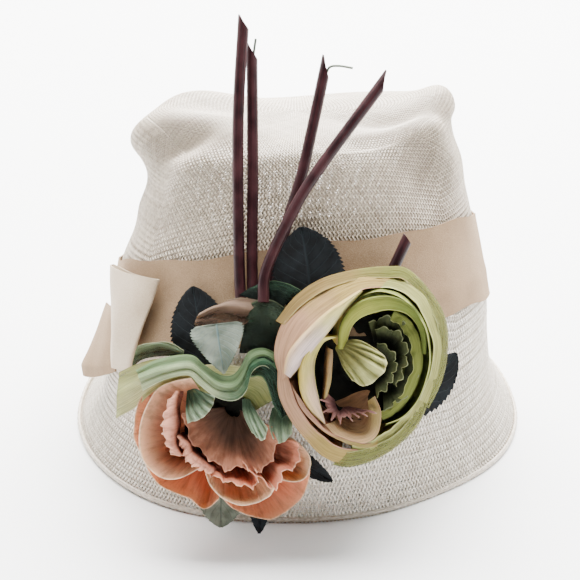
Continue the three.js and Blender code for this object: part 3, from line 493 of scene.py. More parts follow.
def section_point(row, angle):
    """The section curve at a row: a superellipse in a plane that leans back and to the left."""
    c = np.cos(angle)
    s = np.sin(angle)
    tiny = 1e-9
    half = column("half", row) + tiny
    deep = np.where(s < 0, column("front", row), column("rear", row)) + tiny
    power = column("square", row)
    radius = (np.abs(c / half) ** power + np.abs(s / deep) ** power) ** (-1 / power)
    left = np.radians(column("left", row))
    back = np.radians(column("back", row))
    x = column("x", row) + radius * c * np.cos(left)
    y = column("y", row) + radius * s * np.cos(back)
    z = column("z", row) + radius * (c * np.sin(left) - s * np.sin(back))
    return np.stack([x, y, z], axis=-1)


def dent_height(row, angle):
    """The sum of all dents, each a bell shape over rows and degrees."""
    height = 0
    for dent in DENTS:
        turn = np.degrees(angle) - dent["angle"]
        turn = turn - 360 * np.round(turn / 360)
        spread = ((row - dent["row"]) / dent["rows"]) ** 2 + (turn / dent["wide"]) ** 2
        height = height + dent["out"] * np.exp(-spread)
    return height


def unit(vectors):
    """Vectors divided by their lengths."""
    lengths = np.linalg.norm(vectors, axis=-1, keepdims=True)
    return vectors / np.maximum(lengths, 1e-12)


def hat_point(row, angle, out=0.0):
    """A point at a distance out from the straw: the section point, plus dent and distance along the
    outward direction, which is the cross product of the ways round and up the surface."""
    row, angle = np.broadcast_arrays(np.asarray(row, float), np.asarray(angle, float))
    step = 0.02
    near_top = np.minimum(row, TOP_ROW - step)
    up = section_point(np.minimum(row + step, TOP_ROW - step), angle)
    up = up - section_point(np.clip(near_top - step, 0, None), angle)
    around = section_point(near_top, angle + step) - section_point(near_top, angle - step)
    normal = unit(np.cross(around, up))
    height = dent_height(row, angle) + out
    point = section_point(row, angle) + normal * height[..., None]
    point[..., 2] = np.maximum(point[..., 2], 0)
    return point


def spray_point(place):
    """A place in the spray, from its right, up and out distances."""
    right = place[..., 0]
    up = place[..., 1]
    out = place[..., 2]
    c = math.cos(SPRAY_TILT)
    s = math.sin(SPRAY_TILT)
    return np.stack([right, up * s - out * c, up * c + out * s], axis=-1) + SPRAY_PLACE


def spline(values, count):
    """A Catmull-Rom curve through values along their first axis, at evenly spaced numbers."""
    padded = np.concatenate([2 * values[:1] - values[1:2], values, 2 * values[-1:] - values[-2:-1]])
    t = np.linspace(0, len(values) - 1 - 1e-9, count)
    i = t.astype(int)
    f = (t - i).reshape(-1, *[1] * (values.ndim - 1))
    a, b, c, d = (padded[i + step] for step in range(4))
    return 0.5 * (2 * b + (c - a) * f + (2 * a - 5 * b + 4 * c - d) * f**2 + (3 * b - a - 3 * c + d) * f**3)


def smooth_path(places, count):
    """Evenly spaced points on a Catmull-Rom curve through a few places."""
    curve = spline(places, count * 8)
    lengths = np.linalg.norm(np.diff(curve, axis=0), axis=1)
    along = np.concatenate([[0], np.cumsum(lengths)])
    wanted = np.linspace(0, along[-1], count)
    return np.stack([np.interp(wanted, along, curve[:, k]) for k in range(3)], axis=-1)


def whole_turn(count):
    """Evenly spaced angles all round."""
    return np.linspace(0, 2 * math.pi, count, endpoint=False)


def new_object(name, data):
    """An object in the scene."""
    made = bpy.data.objects.new(name, data)
    bpy.context.scene.collection.objects.link(made)
    return made


def make_piece(name, points, faces, corner_uv, nodes, material, sharp=50):
    """A piece from points in the frame, its quads and triangles, and the UV of each of their corners.
    sharp is the angle from which an edge is drawn sharp."""
    mesh = bpy.data.meshes.new(name)
    sides = [face.shape[1] for face in faces]
    counts = [len(face) for face in faces]
    totals = np.repeat(sides, counts)
    corners = np.concatenate([face.ravel() for face in faces])
    starts = np.concatenate([[0], np.cumsum(totals)[:-1]])
    mesh.vertices.add(len(points))
    mesh.vertices.foreach_set("co", points.astype(np.float32).ravel())
    mesh.loops.add(len(corners))
    mesh.loops.foreach_set("vertex_index", corners.astype(np.int32))
    mesh.polygons.add(len(totals))
    mesh.polygons.foreach_set("loop_start", starts.astype(np.int32))
    mesh.polygons.foreach_set("loop_total", totals.astype(np.int32))
    mesh.update(calc_edges=True)
    layer = mesh.uv_layers.new(name="cloth")
    layer.data.foreach_set("uv", corner_uv.astype(np.float32).ravel())
    mesh.polygons.foreach_set("use_smooth", np.ones(len(totals), bool))
    mesh.set_sharp_from_angle(angle=math.radians(sharp))
    mesh.materials.append(material)
    piece = new_object(name, mesh)
    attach(piece, "root")
    if nodes:
        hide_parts(*nodes)
    return piece


def grid_faces(rows, columns, wraps, first=0, reverse=False):
    """Quads of a grid of rows by columns that starts at vertex number first; wraps joins its rows round."""
    i = np.arange(rows if wraps else rows - 1)[:, None]
    j = np.arange(columns - 1)[None, :]
    k = (i + 1) % rows
    a = i * columns + j
    b = k * columns + j
    quads = np.stack([a, b, b + 1, a + 1], axis=-1).reshape(-1, 4) + first
    return quads[:, ::-1] if reverse else quads


def quad_uv(u0, u1, v0, v1):
    """The UV corners of quads, from their two sides and their two ends."""
    corners = [np.stack(np.broadcast_arrays(u, v), -1) for u, v in ((u0, v0), (u1, v0), (u1, v1), (u0, v1))]
    return np.stack(corners, -2).reshape(-1, 4, 2)


def grid_uv(rows, columns, wraps, reverse=False):
    """The corners of a grid's quads on a unit square, in the order of grid_faces."""
    last = rows if wraps else rows - 1
    i = np.arange(last)[:, None]
    j = np.arange(columns - 1)[None, :]
    uv = quad_uv(i / last, (i + 1) / last, j / (columns - 1), (j + 1) / (columns - 1))
    return uv[:, ::-1] if reverse else uv


def inside_out(points, quads):
    """Whether the quads of a closed solid face inwards, by the sign of the volume they enclose."""
    a, b, c = (points[quads[:, corner]] for corner in range(3))
    return np.einsum("ij,ij->i", a, np.cross(b, c)).sum() < 0


def grid_normals(points, wraps):
    """The cross product of the differences along the two ways of a grid."""
    along = np.roll(points, -1, 0) - np.roll(points, 1, 0) if wraps else np.gradient(points, axis=0)
    across = np.gradient(points, axis=1)
    return unit(np.cross(along, across))


def shell(points, thick, wraps=False):
    """A thin closed solid: a grid moved half the thickness to each side along its normals, and closed
    round its edges with strips. Returns points, faces and UV corners."""
    rows, columns = points.shape[:2]
    half = np.broadcast_to(np.asarray(thick, float), (rows, columns))[..., None] / 2
    lift = grid_normals(points, wraps) * half
    places = np.concatenate([(points + lift).reshape(-1, 3), (points - lift).reshape(-1, 3)])
    below = rows * columns
    faces = [grid_faces(rows, columns, wraps), grid_faces(rows, columns, wraps, below, reverse=True)]
    uvs = [grid_uv(rows, columns, wraps), grid_uv(rows, columns, wraps, reverse=True)]
    number = np.arange(below).reshape(rows, columns)
    closed = np.concatenate([number, number[:1]]) if wraps else number
    # Each edge: its line of vertices, its level on the unit square, and which way its strip is laid
    edges = [(closed[:, 0], 0.0, True, False), (closed[:, -1], 1.0, False, False)]
    if not wraps:
        edges += [(number[0], 0.0, False, True), (number[-1], 1.0, True, True)]
    for line, level, below_first, across in edges:
        a, b = line[:-1], line[1:]
        corners = (a + below, b + below, b, a) if below_first else (a, b, b + below, a + below)
        faces.append(np.stack(corners, axis=-1))
        share = np.arange(len(line)) / (len(line) - 1)
        uv = quad_uv(share[:-1], share[1:], level, level)
        uvs.append(uv[..., ::-1] if across else uv)
    return places, np.concatenate(faces), np.concatenate(uvs)


def sheet_sizes(points, wraps=False):
    """Width, length and area of a grid in metres, measured along its lines: the middle one of those
    that run along its rows' ends, and the longest of the others."""
    closed = np.concatenate([points, points[:1]], axis=0) if wraps else points
    width = np.median(np.linalg.norm(np.diff(closed, axis=0), axis=-1).sum(axis=0))
    length = np.linalg.norm(np.diff(closed, axis=1), axis=-1).sum(axis=1).max()
    a = closed[:-1, :-1]
    b = closed[1:, :-1]
    c = closed[1:, 1:]
    d = closed[:-1, 1:]
    area = np.linalg.norm(np.cross(c - a, d - b), axis=-1).sum() / 2
    return width, length, area


def cloth_piece(name, points, thick, nodes, material, wraps=False):
    """A sheet of cloth from a grid of table points; its flat size is measured and not used."""
    places = in_frame(points)
    solid, faces, uvs = shell(places, np.asarray(thick) * MM, wraps)
    piece = make_piece(name, solid, [faces], uvs, nodes, material)
    width, length, area = sheet_sizes(places, wraps)
    width = max(width, MIN_SHEET_SIDE)
    length = max(length, MIN_SHEET_SIDE)


def tube(rings):
    """A closed solid through rings of points, each end closed with a fan to its middle."""
    count, sides = rings.shape[:2]
    points = np.concatenate([rings.reshape(-1, 3), rings[0].mean(0)[None], rings[-1].mean(0)[None]])
    number = np.arange(count * sides).reshape(count, sides)
    following = np.roll(number, -1, axis=1)
    walls = np.stack([number[:-1], following[:-1], following[1:], number[1:]], axis=-1).reshape(-1, 4)
    foot = np.stack([np.full(sides, count * sides), following[0], number[0]], axis=-1)
    tip = np.stack([np.full(sides, count * sides + 1), number[-1], following[-1]], axis=-1)
    ends = np.concatenate([foot, tip])
    if inside_out(points, walls):
        walls = walls[:, ::-1]
        ends = ends[:, ::-1]
    u = np.arange(sides)[None, :] / sides
    v = np.arange(count - 1)[:, None] / (count - 1)
    wall_uv = quad_uv(u, u + 1 / sides, v, v + 1 / (count - 1)).reshape(-1, 2)
    return points, [walls, ends], np.concatenate([wall_uv, np.zeros((ends.size, 2))])


# Materials

def tint(red, green, blue):
    """A colour given as display values from 0 to 255, as linear values."""
    shown = np.array([red, green, blue]) / 255
    linear = np.where(shown <= 0.04045, shown / 12.92, ((shown + 0.055) / 1.055) ** 2.4)
    return (*linear, 1.0)


class Tree:
    """The nodes of a material, a group or the sky, with a short call for each kind of node. Every
    value is a number, a colour, a vector or a socket."""

    def __init__(self, tree):
        self.nodes = tree.nodes
        self.links = tree.links

    def give(self, socket, value):
        """Links a socket into another, or sets a plain value on it."""
        if isinstance(value, bpy.types.NodeSocket):
            self.links.new(value, socket)
        else:
            socket.default_value = value

    def node(self, kind, inputs, **settings):
        """A node with its settings, and values for its inputs by name or number."""
        node = self.nodes.new(kind)
        for label, value in settings.items():
            setattr(node, label, value)
        for label, value in inputs.items():
            self.give(node.inputs[label], value)
        return node

    def uv(self):
        """The piece's own UV map."""
        return self.node("ShaderNodeUVMap", {}, uv_map="cloth").outputs["UV"]

    def place(self):
        """The place in the object, in metres."""
        return self.nodes.new("ShaderNodeTexCoord").outputs["Object"]

    def parts(self, vector):
        """The X, Y and Z of a vector."""
        return self.node("ShaderNodeSeparateXYZ", {"Vector": vector}).outputs

    def math(self, operation, *values):
        """A sum, product or other result of one or two values."""
        return self.node("ShaderNodeMath", dict(enumerate(values)), operation=operation).outputs[0]

    def weighted(self, *pairs):
        """The sum of values, each times its own weight."""
        total = None
        for value, weight in pairs:
            part = self.math("MULTIPLY", value, weight)
            total = part if total is None else self.math("ADD", total, part)
        return total

    def mix(self, factor, first, second, blend="MIX"):
        """A mix of two colours."""
        inputs = {0: factor, 6: first, 7: second}
        return self.node("ShaderNodeMix", inputs, data_type="RGBA", blend_type=blend).outputs[2]

    def step(self, value, low, high, first=0.0, last=1.0):
        """A smooth step from the first level at low to the last level at high."""
        inputs = dict(enumerate((value, low, high, first, last)))
        return self.node("ShaderNodeMapRange", inputs, interpolation_type="SMOOTHSTEP").outputs[0]

    def noise(self, vector, scale, detail=3.0, roughness=0.5):
        """Soft noise over a vector, from 0 to 1."""
        inputs = {"Vector": vector, "Scale": scale, "Detail": detail, "Roughness": roughness}
        return self.node("ShaderNodeTexNoise", inputs).outputs["Fac"]

    def scaled(self, vector, scale):
        """A vector with its three parts scaled."""
        return self.node("ShaderNodeMapping", {"Vector": vector, "Scale": scale}).outputs["Vector"]

    def bump(self, height, distance, strength):
        """A normal bumped by a height, with a distance in metres."""
        inputs = {"Height": height, "Distance": distance, "Strength": strength}
        return self.node("ShaderNodeBump", inputs).outputs["Normal"]

    def grouped(self, group, inputs):
        """The outputs of a node group that is placed here with its own values."""
        return self.node("ShaderNodeGroup", inputs, node_tree=group).outputs


def new_group(name, inputs, outputs):
    """A shader node group, from the names of its inputs and outputs and the kind of each."""
    group = bpy.data.node_groups.new(name, "ShaderNodeTree")
    for in_out, sockets in (("INPUT", inputs), ("OUTPUT", outputs)):
        for label, kind in sockets.items():
            group.interface.new_socket(name=label, in_out=in_out, socket_type=f"NodeSocket{kind}")
    tree = Tree(group)
    entry = tree.nodes.new("NodeGroupInput").outputs
    leaving = tree.nodes.new("NodeGroupOutput").inputs
    return group, tree, entry, leaving


def cloth_group():
    """Fine plain cloth: two sets of threads, plus a soft mottle, each with its own scale."""
    group, tree, entry, leaving = new_group(
        "fine cloth",
        {"Place": "Vector", "Threads": "Float", "Spots": "Float"},
        {"Height": "Float", "Mottle": "Float"},
    )
    waves = []
    for direction in ("X", "Z"):
        inputs = {"Vector": entry["Place"], "Scale": entry["Threads"], "Distortion": 1.5, "Detail": 1.0}
        wave = tree.node("ShaderNodeTexWave", inputs, bands_direction=direction)
        waves.append(wave.outputs["Fac"])
    tree.give(leaving["Height"], tree.math("ADD", *waves))
    tree.give(leaving["Mottle"], tree.noise(entry["Place"], entry["Spots"], detail=4.0))
    return group


def straw_group():
    """Straw: each strand has its own tone, with fine streaks along it and soft patches over it."""
    group, tree, entry, leaving = new_group(
        "straw strands",
        {"UV": "Vector", "Place": "Vector", "Tone": "Float", "Light": "Color", "Dark": "Color"},
        {"Colour": "Color", "Roughness": "Float", "Height": "Float"},
    )
    streaks = tree.noise(tree.scaled(entry["UV"], (14, 0.6, 1)), 1.0, detail=4.0)
    patches = tree.noise(entry["Place"], 30.0)
    level = tree.weighted((entry["Tone"], 0.13), (streaks, 0.65), (patches, 0.12))
    tree.give(leaving["Colour"], tree.mix(tree.step(level, 0.24, 0.64), entry["Dark"], entry["Light"]))
    tree.give(leaving["Roughness"], tree.step(streaks, 0.3, 0.7, first=0.5, last=0.3))
    tree.give(leaving["Height"], streaks)
    return group


def velvet_group():
    """Velvet: a short soft nap, brushed in patches."""
    group, tree, entry, leaving = new_group(
        "velvet pile",
        {"Place": "Vector", "Light": "Color", "Dark": "Color"},
        {"Colour": "Color", "Height": "Float"},
    )
    nap = tree.noise(entry["Place"], 2600.0, detail=2.0)
    brushed = tree.noise(entry["Place"], 55.0, detail=4.0)
    level = tree.weighted((nap, 0.5), (brushed, 0.4))
    tree.give(leaving["Colour"], tree.mix(tree.step(level, 0.2, 0.75), entry["Dark"], entry["Light"]))
    tree.give(leaving["Height"], nap)
    return group


def petal_group():
    """Petal cloth: one colour at the foot, one over the petal, one towards the far side and one at the
    rim, with fine lines, faint threads and a soft mottle. The colour at the foot is darker partly as the
    petal's own colour and partly as painted shade towards the flower's middle, and the low parts of the
    lines are darker as painted shade in fine creases. Grain is how close the lines lie along and across
    the petal, Shade how dark the low parts of the lines are, and Thin and Full the cover between and on them."""
    group, tree, entry, leaving = new_group(
        "petal cloth",
        {"UV": "Vector", "Place": "Vector", "Grain": "Vector", "Deep": "Color", "Light": "Color",
         "Rim": "Color", "Far": "Color", "Shade": "Float", "Thin": "Float", "Full": "Float"},
        {"Colour": "Color", "Height": "Float", "Cover": "Float"},
    )
    parts = tree.parts(entry["UV"])
    lines = tree.noise(tree.scaled(entry["UV"], entry["Grain"]), 1.0, detail=5.0, roughness=0.62)
    cloth = tree.grouped(CLOTH, {"Place": entry["Place"], "Threads": 1500.0, "Spots": 110.0})
    spread = tree.math("MULTIPLY", tree.math("SUBTRACT", cloth["Mottle"], 0.5), 0.45)
    across = tree.step(tree.math("ADD", parts["X"], spread), 0.3, 0.75)
    along = tree.step(tree.math("ADD", parts["Y"], spread), 0.25, 0.8)
    # Deep at the foot: partly the petal's own colour, partly painted shade towards the flower's middle
    colour = tree.mix(along, entry["Deep"], tree.mix(across, entry["Light"], entry["Far"]))
    colour = tree.mix(tree.step(parts["Y"], 0.95, 0.995), colour, entry["Rim"])
    # The low parts of the lines are made darker: painted shade in the fine creases
    shading = tree.step(lines, 0.32, 0.6, first=entry["Shade"], last=1.0)
    tree.give(leaving["Colour"], tree.mix(1.0, colour, shading, "MULTIPLY"))
    tree.give(leaving["Height"], tree.math("ADD", lines, tree.math("MULTIPLY", cloth["Height"], 0.1)))
    tree.give(leaving["Cover"], tree.step(lines, 0.2, 0.8, entry["Thin"], entry["Full"]))
    return group


def leaf_group():
    """Leaf: a pressed centre vein with side veins at a slant, over mottled satin cloth."""
    group, tree, entry, leaving = new_group(
        "leaf cloth",
        {"UV": "Vector", "Place": "Vector", "Light": "Color", "Dark": "Color", "Vein": "Color"},
        {"Colour": "Color", "Height": "Float"},
    )
    parts = tree.parts(entry["UV"])
    across = tree.math("ABSOLUTE", tree.math("SUBTRACT", parts["Y"], 0.5))
    slanted = tree.weighted((parts["X"], 9.0), (across, -5.0))
    side_veins = tree.step(tree.math("PINGPONG", slanted, 0.5), 0.0, 0.09, first=1.0, last=0.0)
    middle_vein = tree.step(across, 0.0, 0.035, first=1.0, last=0.0)
    veins = tree.math("MAXIMUM", tree.math("MULTIPLY", side_veins, 0.6), middle_vein)
    cloth = tree.grouped(CLOTH, {"Place": entry["Place"], "Threads": 1800.0, "Spots": 160.0})
    colour = tree.mix(tree.step(cloth["Mottle"], 0.3, 0.7), entry["Dark"], entry["Light"])
    tree.give(leaving["Colour"], tree.mix(tree.math("MULTIPLY", veins, 0.55), colour, entry["Vein"]))
    tree.give(leaving["Height"], tree.math("SUBTRACT", tree.math("MULTIPLY", cloth["Height"], 0.1), veins))
    return group


CLOTH = cloth_group()
STRAW = straw_group()
VELVET = velvet_group()
PETAL = petal_group()
LEAF = leaf_group()


def new_material(name, **constants):
    """A material, its tree and its shader's inputs; constant values go on the shader's own sockets."""
    material = bpy.data.materials.new(name)
    material.use_nodes = True
    tree = Tree(material.node_tree)
    shader = tree.nodes["Principled BSDF"].inputs
    for socket, value in constants.items():
        shader[socket.replace("_", " ")].default_value = value
    return material, tree, shader


def straw_material(name, light, dark):
    """Glossy straw; the tone of each strand is an attribute of the mesh."""
    material, tree, shader = new_material(name, Specular_IOR_Level=1.0)
    tone = tree.node("ShaderNodeAttribute", {}, attribute_name="tone").outputs["Fac"]
    straw = tree.grouped(STRAW, {"UV": tree.uv(), "Place": tree.place(), "Tone": tone, "Light": tint(*light),
                                 "Dark": tint(*dark)})
    tree.give(shader["Base Color"], straw["Colour"])
    tree.give(shader["Roughness"], straw["Roughness"])
    tree.give(shader["Normal"], tree.bump(straw["Height"], 0.00012, 0.7))
    return material


def velvet_material(name, light, dark, roughness, sheen):
    """Ribbon that is lighter at glancing angles."""
    material, tree, shader = new_material(name, Roughness=roughness, Sheen_Weight=sheen, Sheen_Roughness=0.4,
                                          Sheen_Tint=tint(235, 210, 180), Specular_IOR_Level=0.3)
    pile = tree.grouped(VELVET, {"Place": tree.place(), "Light": tint(*light), "Dark": tint(*dark)})
    tree.give(shader["Base Color"], pile["Colour"])
    tree.give(shader["Normal"], tree.bump(pile["Height"], 0.0002, 0.6))
    return material


def petal_material(look):
    """Petal cloth from a row of the table of looks. Light passes through it a little."""
    material, tree, shader = new_material(
        look["at"], Roughness=0.8, Specular_IOR_Level=0.14, Subsurface_Weight=0.15, Subsurface_Scale=0.6,
        Subsurface_Radius=(0.004, 0.003, 0.002))
    petal = tree.grouped(PETAL, {
        "UV": tree.uv(), "Place": tree.place(), "Grain": GRAINS[look["grain"]], "Shade": look["shade"],
        "Deep": tint(*look["deep"]), "Light": tint(*look["light"]), "Rim": tint(*look["rim"]),
        "Far": tint(*(look["far"] or look["light"])),
        "Thin": look["cover"] - COVER_RANGE, "Full": min(look["cover"] + COVER_RANGE, 1.0),
    })
    tree.give(shader["Base Color"], petal["Colour"])
    tree.give(shader["Normal"], tree.bump(petal["Height"], 0.0009, 0.8))
    if look["cover"] < 1:
        tree.give(shader["Alpha"], petal["Cover"])
    return material


def leaf_material(look):
    """Stiffened leaf cloth from a row of the table of looks."""
    material, tree, shader = new_material(look["at"], Roughness=0.75, Specular_IOR_Level=0.18)
    leaf = tree.grouped(LEAF, {"UV": tree.uv(), "Place": tree.place(), "Light": tint(*look["light"]),
                               "Dark": tint(*look["dark"]), "Vein": tint(*look["vein"])})
    tree.give(shader["Base Color"], leaf["Colour"])
    tree.give(shader["Normal"], tree.bump(leaf["Height"], 0.0004, 0.8))
    return material


def stem_material():
    """Burgundy wrapped tube: a satin skin with faint lines along it and darker patches."""
    material, tree, shader = new_material("stem", Specular_IOR_Level=0.22)
    lines = tree.noise(tree.scaled(tree.uv(), (22, 2, 1)), 1.0)
    patches = tree.noise(tree.place(), 120.0, detail=4.0)
    factor = tree.step(tree.weighted((lines, 0.5), (patches, 0.5)), 0.35, 0.65)
    tree.give(shader["Base Color"], tree.mix(factor, tint(26, 9, 13), tint(56, 24, 28)))
    tree.give(shader["Roughness"], tree.step(patches, 0.3, 0.7, first=0.36, last=0.55))
    tree.give(shader["Normal"], tree.bump(lines, 0.0003, 0.5))
    return material


def wire_material():
    """Dull green-grey wire with scratches."""
    material, tree, shader = new_material("wire", Roughness=0.4, Metallic=0.7)
    scratches = tree.noise(tree.place(), 900.0, detail=4.0)
    tree.give(shader["Base Color"], tree.mix(scratches, tint(70, 78, 68), tint(140, 148, 135)))
    tree.give(shader["Normal"], tree.bump(scratches, 0.0001, 0.4))
    return material


def floor_material():
    """Plain pale floor."""
    material, tree, shader = new_material("floor", Roughness=0.85)
    soft = tree.noise(tree.place(), 3.0, detail=2.0)
    tree.give(shader["Base Color"], tree.mix(soft, tint(238, 239, 240), tint(242, 243, 244)))
    return material


# The looks of petals and leaves, each with the name of a slot, which nothing here reads. Colours are display
# values. cover is how much of the light the cloth stops, 1 for all of it, give or take the range.
COVER_RANGE = 0.12
GRAINS = {
    "rose": (20.0, 2.0, 1.0),
    "long": (2.5, 34.0, 1.0),
    "plain": (3.0, 22.0, 1.0),
    "smooth": (2.0, 5.0, 1.0),
}
PETAL_LOOKS = table(("at", "slot", "deep", "light", "rim", "far", "cover", "grain", "shade"), [
    ("peach", "peach", (206, 124, 92), (232, 176, 140), (244, 204, 170), None, 1, "rose", 0.66),
    ("peach_deep", "peach", (196, 106, 76), (224, 148, 114), (240, 184, 148), None, 1, "rose", 0.66),
    ("salmon", "peach", (130, 74, 58), (222, 156, 130), (244, 200, 176), None, 1, "rose", 0.66),
    ("coral", "peach", (140, 76, 60), (220, 138, 110), (240, 176, 148), None, 1, "rose", 0.66),
    ("dusk", "peach", (92, 66, 54), (186, 124, 98), (224, 158, 130), None, 0.95, "rose", 0.66),
    ("blush", "peach", (210, 134, 98), (236, 188, 150), (246, 212, 178), None, 1, "rose", 0.66),
    ("blush_sheer", "peach", (214, 136, 102), (228, 160, 126), (236, 184, 150), None, 0.84, "rose", 0.66),
    ("shell", "cream", (192, 156, 96), (232, 208, 200), (210, 180, 130), (228, 216, 140), 1, "plain", 0.66),
    ("butter", "cream", (190, 168, 82), (226, 212, 122), (226, 212, 146), (218, 186, 156), 1, "plain", 0.66),
    ("beige", "cream", (120, 88, 62), (204, 168, 124), (196, 160, 120), (184, 160, 106), 1, "plain", 0.66),
    ("tan", "mauve", (130, 94, 66), (182, 142, 112), (170, 126, 106), (166, 142, 82), 1, "long", 0.66),
    ("tan_green", "mauve", (104, 84, 46), (146, 122, 74), (166, 146, 94), (128, 130, 66), 0.88, "long", 0.66),
    ("tan_pink", "mauve", (124, 82, 66), (184, 142, 116), (150, 100, 90), (158, 140, 82), 1, "long", 0.66),
    ("mauve", "mauve", (84, 52, 52), (150, 108, 102), (196, 152, 136), None, 1, "rose", 0.66),
    ("lime", "green", (62, 70, 30), (128, 136, 68), (176, 180, 110), None, 1, "long", 0.66),
    ("lime_bright", "green", (66, 76, 30), (158, 162, 74), (190, 192, 106), (108, 122, 56), 1, "long", 0.66),
    ("olive", "green", (84, 90, 44), (134, 136, 78), (172, 172, 116), None, 0.62, "long", 0.66),
    ("olive_light", "green", (96, 98, 48), (150, 150, 88), (186, 184, 124), None, 1, "long", 0.66),
    ("moss", "dark_green", (20, 22, 14), (70, 76, 48), (132, 138, 98), None, 1, "rose", 0.66),
    ("dark_green", "dark_green", (14, 16, 10), (46, 52, 34), (122, 128, 92), None, 1, "rose", 0.66),
    ("fan", "sheer", (104, 102, 56), (172, 172, 112), (206, 202, 148), None, 1, "rose", 0.66),
    ("mint_fan", "sheer", (80, 102, 80), (154, 174, 144), (196, 208, 176), None, 1, "rose", 0.66),
    ("mint", "sheer", (96, 118, 82), (172, 186, 144), (206, 214, 172), (54, 86, 62), 0.9, "long", 0.62),
    ("sheer", "sheer", (150, 156, 92), (186, 188, 128), (206, 204, 150), None, 0.66, "long", 0.66),
    ("dark_sheer", "dark_green", (14, 26, 20), (34, 56, 42), (84, 108, 78), None, 0.9, "long", 0.7),
    ("organza", "leaf", (24, 34, 26), (46, 58, 44), (84, 92, 70), None, 0.84, "smooth", 0.85),
    ("grey_sheer", "sheer", (66, 78, 58), (104, 120, 92), (140, 150, 118), None, 0.82, "long", 0.66),
    ("gauze", "leaf_under", (80, 62, 50), (126, 104, 88), (134, 116, 100), None, 0.8, "smooth", 0.85),
    # Near-black look: painted shade for the bowl at the bottom of each flower
    ("cavity", "dark_green", (10, 9, 7), (18, 18, 12), (26, 26, 18), None, 1, "plain", 0.66),
])
LEAF_LOOKS = table(("at", "slot", "light", "dark", "vein"), [
    ("leaf", "leaf", (22, 27, 31), (8, 10, 12), (40, 48, 52)),
    ("leaf_under", "leaf_under", (122, 130, 118), (86, 96, 84), (84, 112, 120)),
    ("leaf_low", "leaf_under", (120, 126, 112), (76, 84, 72), (60, 68, 60)),
])
MATERIALS = {
    # One straw in two copies: the crown's is darker as painted shade, the brim's is lighter as painted light
    "crown": straw_material("crown straw painted darker", (216, 203, 184), (126, 107, 84)),
    "brim": straw_material("brim straw painted lighter", (238, 230, 217), (166, 151, 130)),
    "velvet": velvet_material("velvet", (153, 129, 101), (112, 88, 64), roughness=0.9, sheen=0.18),
    # The loop's ribbon is much lighter than the band's and tail's: painted light on the loop, on a smoother
    # finish
    "satin": velvet_material("satin", (200, 184, 160), (166, 144, 118), roughness=0.5, sheen=0.1),
    "stem": stem_material(),
    "wire": wire_material(),
}
for make_material, looks in ((petal_material, PETAL_LOOKS), (leaf_material, LEAF_LOOKS)):
    for look in looks:
        MATERIALS[look["at"]] = make_material(look)


# Straw

def row_distances():
    """The distance of each row from the middle of the top, as the mean over all angles of the length
    of the surface line up from it."""
    rows = np.linspace(TOP_ROW, 0, DISTANCE_STEPS)
    angles = np.radians(np.arange(0, 360, DISTANCE_TURN))
    lines = hat_point(rows[:, None], angles[None, :])
    steps = np.linalg.norm(np.diff(lines, axis=0), axis=-1).mean(axis=1)
    return rows, np.concatenate([[0], np.cumsum(steps)])


DISTANCE_ROWS, ROW_DISTANCES = row_distances()


def row_at(distance):
    """The row at a distance from the middle of the top."""
    return np.interp(distance, ROW_DISTANCES, DISTANCE_ROWS)


def top_place(a, b):
    """A place on the square patch of the top, from its two parts between -1 and 1: each part is
    stretched by the bulge of the sides, and the result is read as distance and angle."""
    x = TOP_HALF_SIDE * a * (1 + TOP_BULGE * (1 - b**2))
    y = TOP_HALF_SIDE * b * (1 + TOP_BULGE * (1 - a**2))
    return np.hypot(x, y), np.arctan2(y, x)


def reach(cells):
    """How far a number of cells reaches down the sides, in steps that grow from the first to the last."""
    return LAST_ROW_STEP * cells - ROW_STEP_LOSS * (1 - np.exp(-cells / ROW_STEP_GROWTH))


def side_place(across, down, total_down):
    """A place on the sides, from cells round and cells down: it starts on the edge of the square patch
    and goes down in growing steps, while its angle turns from the patch's to an even one."""
    side = np.floor(across / SIDE_CELLS)
    local = (across - side * SIDE_CELLS) / (SIDE_CELLS / 2) - 1
    first, turn = top_place(np.ones_like(local), local)
    angle = turn + side * math.pi / 2
    even = (across / STRANDS_ROUND) * 2 * math.pi - math.pi / 4
    angle = even + (angle - even) * np.exp(-(down / PATCH_REACH) ** 2)
    share = reach(down) / reach(total_down)
    return first + (ROW_DISTANCES[-1] - first) * share, angle


